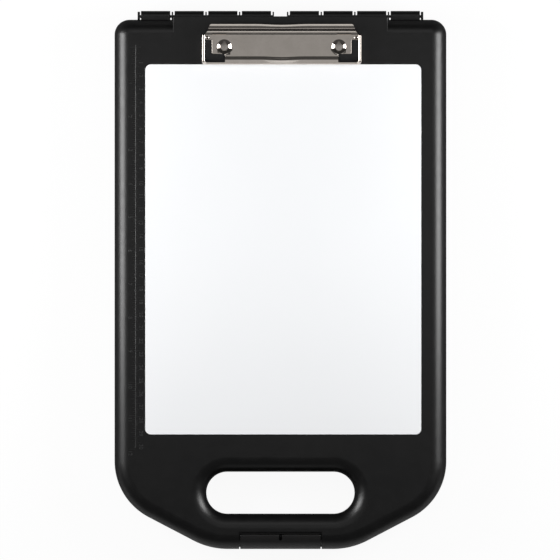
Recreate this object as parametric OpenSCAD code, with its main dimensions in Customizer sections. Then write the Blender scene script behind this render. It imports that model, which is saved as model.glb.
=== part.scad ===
// Storage clipboard case: a shallow tray with a hinged lid, a carry handle at the front,
// a swing-over latch, a white writing panel on the lid and a low spring clip behind it.
// X runs across the case, +Y runs to the hinge, +Z is up. The origin is on the underside,
// in the middle of the overall box.

/* [Case] */
// Width across the two long sides
case_w = 251.6; // [236:0.2:270]
// Length from the front edge to the back wall
case_l = 401.4; // [380:0.2:430]
// Height of the tray from the underside to the seam
tray_h = 24; // [20:0.5:40]
// Height of the lid from the seam to its flat top
lid_h = 15; // [14:0.5:24]
// Thickness of the moulded walls
wall = 2.4; // [2:0.1:3]
// Gap at the seam between the tray and the lid
seam = 0.3; // [0.2:0.05:0.6]
// Radius of the back corners seen from above
back_corner_r = 11.4; // [8:0.2:20]
// Radius of the rounded edge round the top of the lid
shoulder_r = 11.4; // [8:0.2:12]
// Radius of the rounded edge round the underside of the tray
foot_r = 6; // [4:0.5:8]
// Distance from the front edge to where the long sides begin to turn in
side_turn_y = 66.7; // [60:0.1:80]
// Radius where each long side turns in towards the handle
side_turn_r = 48; // [40:0.5:60]
// Angle between the slanted sides and the front edge, in degrees
slant = 27.6; // [24:0.2:32]
// Radius where each slanted side turns into the front edge
front_turn_r = 57; // [50:1:100]

/* [Tray interior] */
// Height of the locating lip that stands inside the lid wall
lip_h = 2; // [1:0.25:3]
// Thickness of the locating lip
lip_t = 1.2; // [1:0.1:2]
// Thickness of the divider between the paper bay and the pen bay
divider_t = 1.8; // [1.2:0.1:3]
// Height of the divider above the tray floor
divider_h = 17; // [8:0.5:20]
// Clear width of the pen bay between the divider and the handle wall
pen_bay_w = 22; // [15:0.5:30]

/* [Handle] */
// Length of the hand slot from end to end
slot_l = 112.5; // [95:0.5:120]
// Width of the hand slot
slot_w = 32; // [28:0.5:36]
// Width of the grip bar between the hand slot and the front edge
grip_bar = 26.6; // [24:0.2:34]
// Radius of the rounded rim where the hand slot meets the underside
slot_rim_r = 6; // [3:0.25:6.5]
// Radius of the wide rounded rim where the hand slot meets the top of the lid
grip_rim_r = 11.4; // [7:0.2:12]
// Thickness of the wall round the hand slot
slot_wall = 3.2; // [2.6:0.1:4]

/* [Hinge] */
// Distance of the hinge axis behind the back wall
hinge_back = 2.5; // [2:0.1:4]
// Outer radius of the lid knuckles
knuckle_r = 4.2; // [3.8:0.1:5]
// Length of each lid knuckle
knuckle_l = 22.2; // [18:0.1:22.6]
// Distance from one knuckle to the next
knuckle_pitch = 25.5; // [25:0.1:26.5]
// Number of knuckles on each side of the middle
knuckles_side = 4; // [3:1:4]
// Distance from the middle of the case to the first fin
first_fin_x = 5.45; // [4:0.05:8]
// Thickness of the fins that stand between the knuckles
fin_t = 1.1; // [1:0.1:1.6]
// Thickness of the outermost fin of each row
end_fin_t = 1.8; // [1.2:0.1:2.2]
// Radius of the rounded end of the fins
fin_r = 3.6; // [3:0.1:3.8]
// Radius of the two hinge pins
hinge_pin_r = 1.1; // [0.8:0.05:1.5]
// Clearance round the knuckles and fins
hinge_clear = 0.4; // [0.3:0.05:0.6]

/* [Latch] */
// Width of the latch
latch_w = 61; // [50:0.5:68]
// Thickness of the latch
latch_t = 2.3; // [1.8:0.1:2.6]
// Gap between each end of the latch and the side of its recess
latch_side_gap = 0.8; // [0.5:0.05:1.2]
// Finger gap between the latch lip and the back of its recess
latch_back_gap = 2.3; // [1.5:0.1:4]
// Clearance between the latch and the face it lies on
latch_clear = 0.4; // [0.3:0.05:0.6]
// Radius of the barrel along the lower edge of the latch
latch_barrel_r = 2.4; // [2.1:0.1:2.8]
// Height of the latch pin above the underside
latch_pin_z = 5.6; // [5:0.1:7]
// Radius of the latch pin
latch_pin_r = 1.1; // [0.8:0.05:1.3]
// Length of the latch pin held in the tray at each end
latch_pin_hold = 4; // [2:0.5:6]
// Width of the notch in the middle of the latch lip
notch_w = 2.3; // [1.5:0.1:4]
// Length of the notch in the middle of the latch lip
notch_l = 4.3; // [2:0.1:5]
// Radius of the catch bead under the latch lip
bead_r = 0.8; // [0.5:0.05:0.9]

/* [Writing panel] */
// Width of the white writing panel
panel_w = 209.2; // [190:0.2:216]
// Length of the white writing panel
panel_l = 280.6; // [250:0.2:286]
// Corner radius of the writing panel
panel_r = 4.3; // [2:0.1:8]
// Thickness of the writing panel
panel_t = 1; // [0.6:0.05:1.1]
// Gap round the writing panel in its recess
panel_gap = 0.5; // [0.3:0.05:1]
// Distance from the back wall to the back edge of the panel
panel_back = 33.9; // [33:0.1:40]
// Distance of the panel to the right of the middle, clear of the ruler margin
panel_shift = 2.1; // [0:0.1:4]
// Thickness of the adhesive tape under the panel
tape_t = 0.2; // [0.1:0.02:0.3]
// Width of each strip of tape
tape_w = 18; // [10:1:25]
// Distance from the edge of the panel to the tape
tape_inset = 12; // [6:1:20]

/* [Clip] */
// Width of the clip across its side flanges
clip_w = 120.7; // [110:0.1:130]
// Depth of the clip jaw from its front lip to its thumb edge
clip_d = 30.8; // [30.8:0.1:32]
// Distance of the clip to the right of the middle
clip_shift = 0.9; // [0:0.1:2]
// Thickness of the jaw sheet
jaw_t = 0.9; // [0.7:0.05:1.1]
// Height of the flat top of the jaw above the lid
jaw_h = 7.6; // [7.2:0.1:8.2]
// Height of the stiffening ridge above the flat of the jaw
ridge_h = 0.8; // [0.5:0.1:1]
// Distance of each end of the thumb lever inside the side of the jaw
lever_in = 6.35; // [5.5:0.05:10]
// Distance of the pivot from the front lip
pivot_d = 19; // [18.5:0.1:19.5]
// Height of the pivot above the lid
pivot_h = 4.2; // [4:0.1:4.4]
// Radius of the clip pivot pin
pivot_r = 1.2; // [1:0.05:1.3]
// Thickness of the base plate under the jaw
plate_t = 0.9; // [0.7:0.05:1.1]
// Distance of the front edge of the base plate behind the front lip
plate_front_d = 5; // [4:0.1:6]
// Distance of the back edge of the base plate in front of the thumb edge
plate_back_d = 5; // [4.8:0.1:7]
// Distance of each rivet inside the side of the jaw
rivet_in = 16.9; // [16:0.1:20]
// Distance of the rivets from the front lip
rivet_d = 13.5; // [13:0.1:14]
// Radius of the rivet shanks
rivet_r = 2; // [1.5:0.1:2.3]
// Radius of the rivet heads
rivet_head_r = 4.9; // [3:0.1:5]
// Height of the domed rivet heads
rivet_head_h = 1.3; // [1:0.1:1.8]
// Radius of the holes in the jaw over the rivets
access_r = 5.3; // [4.5:0.1:5.4]
// Radius of the washers inside the lid
washer_r = 5.5; // [5:0.1:8]
// Thickness of the washers
washer_t = 0.8; // [0.5:0.1:1.2]
// Radius of the wire of the two torsion springs
spring_wire_r = 0.55; // [0.4:0.05:0.6]
// Number of turns of each torsion spring
spring_turns = 5; // [3:1:6]
// Distance of each spring inside its rivet
spring_in = 17.45; // [14:0.05:22]

/* [Rubber corner grips] */
// Width of the long leg of each grip
grip_leg_w = 4.6; // [3.5:0.1:4.7]
// Length of each grip along the side of the jaw
grip_long = 16.9; // [14:0.1:17.2]
// Length of each grip along the front of the jaw
grip_front = 15.5; // [12:0.1:16]
// Depth of the front leg of each grip
grip_front_d = 6.3; // [5:0.1:6.5]
// Height of the clear gap under the grips and the jaw at rest
jaw_gap = 0.3; // [0.2:0.05:0.5]

/* [Hidden] */
$fn = 48;

// Running clearance of a pin in a hole it turns in, and the bite of a pin pressed into a hole
run_fit = 0.05;
press = 0.01;
// Overlap that makes a cut pass cleanly through a face
over = 1;
// Smallest radius left inside a back corner
least_r = 0.4;
// Steps in each rounded edge and each turn of the outline
edge_steps = 7;
back_steps = 7;
side_steps = 12;
front_steps = 7;
rim_steps = 7;

// Overall places, worked out from the case
front_y = -(case_l + hinge_back + knuckle_r) / 2;
back_y = front_y + case_l;
hinge_y = back_y + hinge_back;
hinge_z = tray_h + seam / 2;
lid_z = tray_h + seam;
top_z = tray_h + lid_h;
// Wall of the lid round the slot: the rim takes at most this share of the ceiling that meets it
rim_share = 0.35;
grip_wall = max(slot_wall, grip_rim_r - sqrt(pow(grip_rim_r, 2) - pow(grip_rim_r - wall * rim_share, 2)));
half_w = case_w / 2;
slot_y = front_y + grip_bar + slot_w / 2;
slot_half = slot_l / 2 - slot_w / 2;

// Depth of the thickened band that carries the locating lip
lip_root = 3;

// Places along the hinge
fin_xs = [for (i = [0 : knuckles_side]) first_fin_x + i * knuckle_pitch];
knuckle_xs = [for (i = [1 : knuckles_side]) first_fin_x + (i - 0.5) * knuckle_pitch];
hinge_end_x = fin_xs[knuckles_side] + end_fin_t / 2;
land_half = fin_xs[knuckles_side - 1] - fin_t / 2;
hinge_rail_d = knuckle_r + hinge_clear - hinge_back + wall;
// Distance of the back face of each fin in front of the hinge axis, below its round end
fin_neck = 0.4;
// Drop of the knuckle web below the top of the knuckle
web_drop = 0.02;

// Latch places: the lip follows the rounded edge of the lid
shoulder_y = front_y + shoulder_r;
shoulder_z = top_z - shoulder_r;
recess_half = latch_w / 2 + latch_side_gap;
recess_r = shoulder_r - latch_t - latch_clear;
lip_ahead = 0.5;
latch_lip_y = shoulder_y - lip_ahead;
recess_back_y = latch_lip_y + latch_back_gap;
latch_axis_y = front_y + latch_barrel_r;
bead_turn = 8;

// Panel places
panel_back_y = back_y - panel_back;
panel_mid_y = panel_back_y - panel_l / 2;
panel_depth = panel_t + tape_t;
// Gap between the long and the short strips of tape
tape_gap = 3;

// Clip places: the front lip reaches just over the back edge of the panel
lip_over = 0.3;
clip_front_y = panel_back_y - lip_over;
pivot_y = clip_front_y + pivot_d;
pivot_z = top_z + pivot_h;
rivet_y = clip_front_y + rivet_d;
rivet_x = clip_w / 2 - rivet_in;
spring_x = rivet_x - spring_in;
// Depths along the jaw: where its front slope and its bend end, and where the thumb lever begins
slope_d = 3.2;
bend_d = 6.5;
lever_d = 7;
// Drop of the sheet across the front bend, which is also the depth of the groove in the lever
bend_drop = 1.9;
// Margins of the sheet round the corner windows, and room between the grips and the base plate
window_front = 1.8;
window_side = 2.4;
window_out = clip_w / 2 - window_side;
window_in = window_out - grip_leg_w;
grip_room = 1;
// Ears of the base plate, which carry the pivot, and their gap to the underside of the jaw
ear_t = 0.9;
ear_gap = 0.35;
ear_out = window_in - grip_room;

// Points of one turn of the outline, from one angle to another
function turn(cx, cy, r, a0, a1, steps) =
    [for (i = [0 : steps]) let (a = a0 + (a1 - a0) * i / steps) [cx + r * cos(a), cy + r * sin(a)]];

// The case outline, moved inwards by inset; the slanted sides touch both turns
function right_side(inset) =
    let (
        n = [sin(slant), -cos(slant)],
        side_c = [half_w - side_turn_r, front_y + side_turn_y],
        front_cy = front_y + front_turn_r,
        front_cx = (n * side_c + side_turn_r - front_turn_r - n[1] * front_cy) / n[0],
        back_r = max(back_corner_r - inset, least_r),
        back_c = [half_w - inset - back_r, back_y - inset - back_r]
    )
    concat(
        turn(front_cx, front_cy, front_turn_r - inset, -90, slant - 90, front_steps),
        turn(side_c[0], side_c[1], side_turn_r - inset, slant - 90, 0, side_steps),
        turn(back_c[0], back_c[1], back_r, 0, 90, back_steps)
    );

function flip(points) = [for (i = [len(points) - 1 : -1 : 0]) [-points[i][0], points[i][1]]];

function outline(inset) = let (side = right_side(inset)) concat(side, flip(side));

// A hand-slot outline, grown outwards by grow
function stadium(grow) = concat(
    turn(slot_half, slot_y, slot_w / 2 + grow, -90, 90, 16),
    turn(-slot_half, slot_y, slot_w / 2 + grow, 90, 270, 16)
);

function rounded_box(w, l, r) = concat(
    turn(w / 2 - r, l / 2 - r, r, 0, 90, 6),
    turn(r - w / 2, l / 2 - r, r, 90, 180, 6),
    turn(r - w / 2, r - l / 2, r, 180, 270, 6),
    turn(w / 2 - r, r - l / 2, r, 270, 360, 6)
);

// A closed solid through a stack of outlines that all have the same number of points;
// each level is [outline, height]
module loft(levels) {
    n = len(levels[0][0]);
    m = len(levels);
    points = [for (level = levels) for (p = level[0]) [p[0], p[1], level[1]]];
    walls = [for (k = [0 : m - 2]) for (i = [0 : n - 1]) let (j = (i + 1) % n)
        [k * n + i, (k + 1) * n + i, (k + 1) * n + j, k * n + j]];
    floor_face = [for (i = [0 : n - 1]) i];
    roof_face = [for (i = [n - 1 : -1 : 0]) (m - 1) * n + i];
    polyhedron(points, concat(walls, [floor_face, roof_face]));
}

// Levels of a rounded top edge of radius r that starts at height z0 and inset in0
function round_up(in0, z0, r, steps) =
    [for (i = [0 : steps]) let (a = 90 * i / steps) [outline(in0 + r * (1 - cos(a))), z0 + r * sin(a)]];

// Levels of a rounded bottom edge of radius r that ends at height z1 and inset in1
function round_down(in1, z1, r, steps) =
    [for (i = [0 : steps]) let (a = 90 * i / steps) [outline(in1 + r * (1 - sin(a))), z1 - r * cos(a)]];

// Levels of the flared rim of the hand slot, from straight wall to open face
function flare(z0, dir, r, steps) =
    [for (i = [0 : steps]) let (a = 90 * i / steps) [stadium(r * (1 - cos(a))), z0 + dir * r * sin(a)]];

// Extrudes a profile drawn in (Y, Z) along X, from x0 to x1
module along_x(x0, x1) {
    translate([x0, 0, 0])
        rotate([90, 0, 90])
            linear_extrude(height = x1 - x0)
                children();
}

module rod_x(x0, x1, y, z, r) {
    translate([x0, y, z])
        rotate([0, 90, 0])
            cylinder(h = x1 - x0, r = r);
}

module box(low, high) {
    translate(low)
        cube(high - low);
}

// ---- Tray ----

module hand_slot_cut(z_low, z_high, rim_up, rim_down) {
    lower = rim_down
        ? [for (level = [rim_steps : -1 : 0]) flare(z_low + slot_rim_r, -1, slot_rim_r, rim_steps)[level]]
        : [[stadium(0), z_low - over]];
    upper = rim_up
        ? flare(z_high - grip_rim_r, 1, grip_rim_r, rim_steps)
        : [[stadium(0), z_high + over]];
    last_low = lower[0];
    last_high = upper[len(upper) - 1];
    skirt_low = rim_down ? [[last_low[0], z_low - over]] : [];
    skirt_high = rim_up ? [[last_high[0], z_high + over]] : [];
    loft(concat(skirt_low, lower, upper, skirt_high));
}

module fin(x, t) {
    along_x(x - t / 2, x + t / 2)
        polygon([
            [hinge_y - hinge_back - wall, tray_h - seam],
            [hinge_y - hinge_back - wall, tray_h - knuckle_r - hinge_back - wall],
            [hinge_y - hinge_back, tray_h - knuckle_r - hinge_back - wall],
            [hinge_y - fin_neck, tray_h - knuckle_r],
            [hinge_y - fin_neck, tray_h - seam]
        ]);
    rod_x(x - t / 2, x + t / 2, hinge_y, hinge_z, fin_r);
}

module fins() {
    for (side = [-1, 1])
        for (i = [0 : knuckles_side])
            fin(side * fin_xs[i], i == knuckles_side ? end_fin_t : fin_t);
}

module tray_cavity() {
    rail_z = hinge_z - knuckle_r - hinge_clear - wall;
    seat_y = front_y + latch_t + latch_clear;
    difference() {
        loft(concat(
            round_down(wall, foot_r, foot_r - wall, edge_steps - 2),
            [[outline(wall), tray_h + over]]
        ));
        // Wall round the hand slot
        translate([0, 0, -over])
            linear_extrude(height = tray_h + 2 * over)
                polygon(stadium(slot_wall));
        // Rail behind the hinge trough
        box(
            [-hinge_end_x - wall, back_y - hinge_rail_d, rail_z],
            [hinge_end_x + wall, back_y + over, tray_h]
        );
        // Wall behind the latch recess and the block that holds the latch pin
        box([-recess_half - wall, front_y, -over], [recess_half + wall, seat_y + wall, tray_h]);
        box(
            [-recess_half - latch_pin_hold - wall, front_y, -over],
            [recess_half + latch_pin_hold + wall, latch_axis_y + latch_barrel_r + latch_clear + wall,
                latch_pin_z + latch_barrel_r + latch_clear + wall]
        );
        // Divider between the paper bay and the pen bay
        divider_y = slot_y + slot_w / 2 + slot_wall + pen_bay_w;
        box([-half_w, divider_y, -over], [half_w, divider_y + divider_t, wall + divider_h]);
    }
}

module locating_lip() {
    lip_in = wall + seam;
    difference() {
        union() {
            translate([0, 0, tray_h - lip_root])
                linear_extrude(height = lip_root)
                    polygon(outline(wall / 2));
            translate([0, 0, tray_h - over])
                linear_extrude(height = lip_h + over)
                    polygon(outline(lip_in));
        }
        translate([0, 0, tray_h - lip_root - over])
            linear_extrude(height = lip_root + lip_h + 2 * over)
                polygon(outline(lip_in + lip_t));
        // The lip stops short of the hinge rail and of the latch wall
        box(
            [-half_w, back_y - back_corner_r - wall, tray_h - lip_root - over],
            [half_w, back_y, tray_h + lip_h + over]
        );
        box(
            [-recess_half - 2 * wall, front_y - over, tray_h - lip_root - over],
            [recess_half + 2 * wall, front_y + shoulder_r, tray_h + lip_h + over]
        );
    }
}

module base_tray() {
    color([0.13, 0.13, 0.14])
    difference() {
        union() {
            difference() {
                loft(concat(round_down(0, foot_r, foot_r, edge_steps), [[outline(0), tray_h]]));
                tray_cavity();
                // Trough in which the lid knuckles turn
                rod_x(-hinge_end_x, hinge_end_x, hinge_y, hinge_z, knuckle_r + hinge_clear);
            }
            locating_lip();
            fins();
        }
        hand_slot_cut(0, tray_h, false, true);
        // Recess for the latch and the trough for its barrel
        box(
            [-recess_half, front_y - over, -over],
            [recess_half, front_y + latch_t + latch_clear, tray_h + over]
        );
        rod_x(-recess_half, recess_half, latch_axis_y, latch_pin_z, latch_barrel_r + latch_clear);
        // Holes for the latch pin
        rod_x(
            -recess_half - latch_pin_hold, recess_half + latch_pin_hold,
            latch_axis_y, latch_pin_z, latch_pin_r - press
        );
        // Holes for the hinge pins
        for (side = [-1, 1])
            rod_x(
                side > 0 ? 0 : -hinge_end_x - over, side > 0 ? hinge_end_x + over : 0,
                hinge_y, hinge_z, hinge_pin_r - press
            );
    }
}

// ---- Lid ----

module latch_backing() {
    inner_r = recess_r - wall;
    along_x(-recess_half - wall, recess_half + wall)
        polygon(concat(
            [[front_y - over, tray_h - over], [shoulder_y - inner_r, tray_h - over]],
            turn(shoulder_y, shoulder_z, inner_r, 180, 90, 6),
            [[recess_back_y + wall, shoulder_z + inner_r], [recess_back_y + wall, top_z + over],
                [front_y - over, top_z + over]]
        ));
}

module latch_recess() {
    along_x(-recess_half, recess_half)
        polygon(concat(
            [[front_y - over, tray_h - over], [shoulder_y - recess_r, tray_h - over]],
            turn(shoulder_y, shoulder_z, recess_r, 180, 90, 8),
            [[recess_back_y, shoulder_z + recess_r], [recess_back_y, top_z + over],
                [front_y - over, top_z + over]]
        ));
    // Groove that takes the catch bead
    rod_x(
        -recess_half, recess_half,
        shoulder_y - (recess_r + latch_clear / 2) * sin(bead_turn),
        shoulder_z + (recess_r + latch_clear / 2) * cos(bead_turn), bead_r + latch_clear
    );
}

module lid_cavity() {
    rail_top = hinge_z + knuckle_r + wall;
    difference() {
        union() {
            loft(concat(
                [[outline(wall), lid_z - over]],
                round_up(wall, shoulder_z, shoulder_r - wall, edge_steps - 1)
            ));
            // Hollow of the flat land that carries the clip
            box(
                [-land_half + wall, back_y - shoulder_r - wall, rail_top],
                [land_half - wall, hinge_y - wall, top_z - wall]
            );
        }
        // Wall round the hand slot, thick enough where the rounded rim thins the ceiling
        translate([0, 0, tray_h])
            linear_extrude(height = top_z - tray_h)
                polygon(stadium(grip_wall));
        // Rail in front of the knuckles
        box(
            [-hinge_end_x - wall, back_y - hinge_rail_d, tray_h],
            [hinge_end_x + wall, back_y + over, rail_top]
        );
        latch_backing();
    }
}

module knuckle(x) {
    rod_x(x - knuckle_l / 2, x + knuckle_l / 2, hinge_y, hinge_z, knuckle_r);
    // Web that joins the knuckle to the back wall of the lid
    box(
        [x - knuckle_l / 2, back_y - wall, lid_z],
        [x + knuckle_l / 2, hinge_y, hinge_z + knuckle_r - web_drop]
    );
}

module lid_shell() {
    color([0.13, 0.13, 0.14])
    difference() {
        union() {
            difference() {
                union() {
                    loft(concat([[outline(0), lid_z]], round_up(0, shoulder_z, shoulder_r, edge_steps)));
                    // Flat land that carries the clip out over the knuckles
                    box(
                        [-land_half, back_y - shoulder_r - wall, lid_z],
                        [land_half, hinge_y, top_z]
                    );
                }
                lid_cavity();
                // Room for the fins of the tray
                for (side = [-1, 1])
                    for (i = [0 : knuckles_side]) {
                        gap = (knuckle_pitch - knuckle_l) / 2;
                        x = side * fin_xs[i];
                        rod_x(x - gap, x + gap, hinge_y, hinge_z, knuckle_r);
                    }
                // The middle of the back edge stays open between the two rows of knuckles
                box([-first_fin_x, back_y, lid_z - over], [first_fin_x, hinge_y + over, hinge_z + knuckle_r]);
            }
            for (side = [-1, 1])
                for (x = knuckle_xs)
                    knuckle(side * x);
        }
        hand_slot_cut(tray_h, top_z, true, false);
        latch_recess();
        // Recess for the writing panel
        translate([panel_shift, panel_mid_y, top_z - panel_depth])
            linear_extrude(height = panel_depth + over)
                polygon(rounded_box(panel_w + 2 * panel_gap, panel_l + 2 * panel_gap, panel_r + panel_gap));
        // Holes for the clip rivets
        for (side = [-1, 1])
            translate([clip_shift + side * rivet_x, rivet_y, top_z - wall - over])
                cylinder(h = wall + 2 * over, r = rivet_r + run_fit);
        // Bores of the knuckles
        rod_x(-hinge_end_x, hinge_end_x, hinge_y, hinge_z, hinge_pin_r + run_fit);
    }
}

// ---- Writing panel and its tape ----

module writing_panel() {
    color([0.97, 0.975, 0.985])
    translate([panel_shift, panel_mid_y, top_z - panel_t])
        linear_extrude(height = panel_t)
            polygon(rounded_box(panel_w, panel_l, panel_r));
}

module panel_tape() {
    color([0.85, 0.84, 0.8])
    translate([panel_shift, panel_mid_y, top_z - panel_depth])
        linear_extrude(height = tape_t) {
            long = panel_l - 2 * tape_inset;
            across = panel_w - 2 * (tape_inset + tape_w + tape_gap);
            for (side = [-1, 1]) {
                translate([side * (panel_w - 2 * tape_inset - tape_w) / 2, 0])
                    square([tape_w, long], center = true);
                translate([0, side * (long - tape_w) / 2])
                    square([across, tape_w], center = true);
            }
        }
}

// ---- Hinge pins ----

module hinge_pin(side) {
    x0 = first_fin_x - fin_t / 2;
    color([0.2, 0.2, 0.21])
    rod_x(side > 0 ? x0 : -hinge_end_x, side > 0 ? hinge_end_x : -x0, hinge_y, hinge_z, hinge_pin_r);
}

module hinge_pin_left() hinge_pin(-1);

module hinge_pin_right() hinge_pin(1);

// ---- Latch ----

module latch() {
    lip_turn = asin((shoulder_y - latch_lip_y) / shoulder_r);
    inner_r = shoulder_r - latch_t;
    color([0.14, 0.14, 0.15])
    difference() {
        union() {
            along_x(-latch_w / 2, latch_w / 2)
                polygon(concat(
                    turn(shoulder_y, shoulder_z, shoulder_r, 90 + lip_turn, 180, 10),
                    [[front_y, latch_pin_z], [front_y + latch_t, latch_pin_z]],
                    turn(shoulder_y, shoulder_z, inner_r, 180, 90 + lip_turn, 8)
                ));
            rod_x(-latch_w / 2, latch_w / 2, latch_axis_y, latch_pin_z, latch_barrel_r);
            // Catch bead under the lip
            rod_x(
                -latch_w / 2, latch_w / 2,
                shoulder_y - inner_r * sin(bead_turn), shoulder_z + inner_r * cos(bead_turn), bead_r
            );
        }
        rod_x(-latch_w / 2 - over, latch_w / 2 + over, latch_axis_y, latch_pin_z, latch_pin_r + run_fit);
        // Notch in the middle of the lip, with a round end
        notch_end_y = latch_lip_y - notch_l + notch_w / 2;
        box(
            [-notch_w / 2, notch_end_y, shoulder_z],
            [notch_w / 2, shoulder_y + over, top_z + over]
        );
        translate([0, notch_end_y, shoulder_z])
            cylinder(h = shoulder_r + over, r = notch_w / 2);
    }
}

module latch_pin() {
    color([0.55, 0.55, 0.56])
    rod_x(
        -recess_half - latch_pin_hold, recess_half + latch_pin_hold,
        latch_axis_y, latch_pin_z, latch_pin_r
    );
}

// ---- Clip: base plate, pin, springs and rivets ----

module clip_base_plate() {
    wing_front = clip_front_y + window_front + grip_front_d + grip_room;
    nose_front = clip_front_y + plate_front_d;
    plate_back = clip_front_y + clip_d - plate_back_d;
    nose_half = window_out - grip_front - grip_room;
    ear_r = jaw_h - jaw_t - pivot_h - ear_gap;
    color([0.56, 0.54, 0.51])
    translate([clip_shift, 0, 0])
    difference() {
        union() {
            box([-ear_out, wing_front, top_z], [ear_out, plate_back, top_z + plate_t]);
            box([-nose_half, nose_front, top_z], [nose_half, wing_front + over, top_z + plate_t]);
            for (side = [-1, 1]) {
                x0 = side > 0 ? ear_out - ear_t : -ear_out;
                box([x0, pivot_y - ear_r, top_z], [x0 + ear_t, pivot_y + ear_r, pivot_z]);
                rod_x(x0, x0 + ear_t, pivot_y, pivot_z, ear_r + 0.01);
            }
        }
        rod_x(-clip_w / 2, clip_w / 2, pivot_y, pivot_z, pivot_r - press);
        for (side = [-1, 1])
            translate([side * rivet_x, rivet_y, top_z - over])
                cylinder(h = plate_t + 2 * over, r = rivet_r + run_fit);
    }
}

module clip_pivot_pin() {
    color([0.6, 0.6, 0.6])
    rod_x(clip_shift - clip_w / 2, clip_shift + clip_w / 2, pivot_y, pivot_z, pivot_r);
}

module rivet(side) {
    shank_low = top_z - wall - washer_t;
    head_low = top_z + plate_t;
    set_h = 1.2;
    set_grow = 0.4;
    // Sphere whose cap has the height and radius of the head
    dome_r = (rivet_head_r * rivet_head_r + rivet_head_h * rivet_head_h) / (2 * rivet_head_h);
    color([0.62, 0.6, 0.57])
    translate([clip_shift + side * rivet_x, rivet_y, 0]) {
        translate([0, 0, shank_low - over / 2])
            cylinder(h = head_low - shank_low + over, r = rivet_r);
        // Set end inside the lid
        translate([0, 0, shank_low - set_h])
            cylinder(h = set_h, r1 = rivet_r + set_grow, r2 = rivet_r + 3 * set_grow);
        intersection() {
            translate([0, 0, head_low + rivet_head_h - dome_r])
                sphere(r = dome_r);
            translate([0, 0, head_low])
                cylinder(h = rivet_head_h + over, r = rivet_head_r + over);
        }
    }
}

module rivet_left() rivet(-1);

module rivet_right() rivet(1);

module rivet_washer(side) {
    color([0.6, 0.6, 0.6])
    translate([clip_shift + side * rivet_x, rivet_y, top_z - wall - washer_t])
        difference() {
            cylinder(h = washer_t, r = washer_r);
            translate([0, 0, -over])
                cylinder(h = washer_t + 2 * over, r = rivet_r + run_fit);
        }
}

module rivet_washer_left() rivet_washer(-1);

module rivet_washer_right() rivet_washer(1);

// A round wire along a path that never runs parallel to X
function unit(v) = v / norm(v);

module wire(path, r, sides) {
    n = len(path);
    points = [for (i = [0 : n - 1])
        let (
            t = unit(path[min(i + 1, n - 1)] - path[max(i - 1, 0)]),
            u = unit(cross(t, [1, 0, 0])),
            v = cross(t, u)
        )
        for (k = [0 : sides - 1]) path[i] + r * (cos(360 * k / sides) * u + sin(360 * k / sides) * v)];
    walls = [for (i = [0 : n - 2]) for (k = [0 : sides - 1]) let (j = (k + 1) % sides)
        [i * sides + k, (i + 1) * sides + k, (i + 1) * sides + j, i * sides + j]];
    first_face = [for (k = [0 : sides - 1]) k];
    last_face = [for (k = [sides - 1 : -1 : 0]) (n - 1) * sides + k];
    polyhedron(points, concat(walls, [first_face, last_face]));
}

// Torsion spring: coils round the pivot pin, one leg on the base plate, one under the lever
module clip_spring(side) {
    coil_gap = 0.1;
    turn_gap = 0.08;
    plate_gap = 0.05;
    coil_r = pivot_r + spring_wire_r + coil_gap;
    pitch = 2 * spring_wire_r + turn_gap;
    low_leg = 6.2;
    high_leg = clip_d - lever_d - pivot_d - 4 * coil_gap;
    low_h = plate_t + spring_wire_r + plate_gap - pivot_h;
    high_h = min(jaw_h - jaw_t - spring_wire_r - coil_gap - pivot_h, coil_r);
    steps = 14;
    turns = spring_turns + 0.5;
    coil = [for (i = [0 : round(turns * steps)]) let (a = 270 - 360 * i / steps)
        [pitch * (i / steps - turns / 2), coil_r * cos(a), coil_r * sin(a)]];
    x_end = pitch * turns / 2;
    path = concat([[-x_end - 0.01, low_leg, low_h]], coil, [[x_end + 0.01, high_leg, high_h]]);
    color([0.5, 0.5, 0.5])
    translate([clip_shift + side * spring_x, pivot_y, pivot_z])
        wire([for (p = path) [side * p[0], p[1], p[2]]], spring_wire_r, 8);
}

module clip_spring_left() clip_spring(-1);

module clip_spring_right() clip_spring(1);

// ---- Clip jaw and its rubber grips ----

// Top of the jaw sheet from the front lip to the thumb edge, as [depth, height]
function jaw_top() = [
    [0, jaw_gap],
    [slope_d, jaw_h - bend_drop],
    [bend_d, jaw_h],
    [clip_d - lever_d - 0.8, jaw_h],
    [clip_d - lever_d + 0.2, jaw_h + 0.75 * ridge_h],
    [clip_d - 6.1, jaw_h + ridge_h],
    [clip_d - 5.4, jaw_h + 0.5 * ridge_h],
    [clip_d - 4.3, jaw_h - 1],
    [clip_d - 3.7, jaw_h - bend_drop],
    [clip_d - 3.1, jaw_h - 1.3],
    [clip_d - 2.4, jaw_h - 1.1],
    [clip_d - 1.1, jaw_h - 0.2],
    [clip_d - 0.7, jaw_h - 0.2],
    [clip_d, jaw_h - 1]
];

// Underside of the jaw sheet from the thumb edge back to the front lip
function jaw_under() = [
    [clip_d, jaw_h - 1 - jaw_t],
    [clip_d - 3.7, jaw_h - bend_drop - jaw_t],
    [clip_d - 5.6, jaw_h - jaw_t - 0.8],
    [clip_d - lever_d, jaw_h - jaw_t],
    [bend_d + 0.2 * jaw_t, jaw_h - jaw_t],
    [slope_d + 0.7 * jaw_t, jaw_h - bend_drop - jaw_t],
    [jaw_t + 0.25, jaw_gap]
];

// The corner outline behind each side flange, where the sheet narrows to the thumb lever
function lever_corner(side) =
    let (in = clip_w / 2 - lever_in, out = clip_w / 2, d = clip_d - 8.7)
    [for (p = [
        [in, clip_d + over], [in, clip_d - 3.8], [in + 1.5, clip_d - 5.3], [in + 3.5, clip_d - 6.6],
        [out - 1, clip_d - 7.5], [out, d], [out + over, d], [out + over, clip_d + over]
    ]) [side * p[0], p[1]]];

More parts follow.
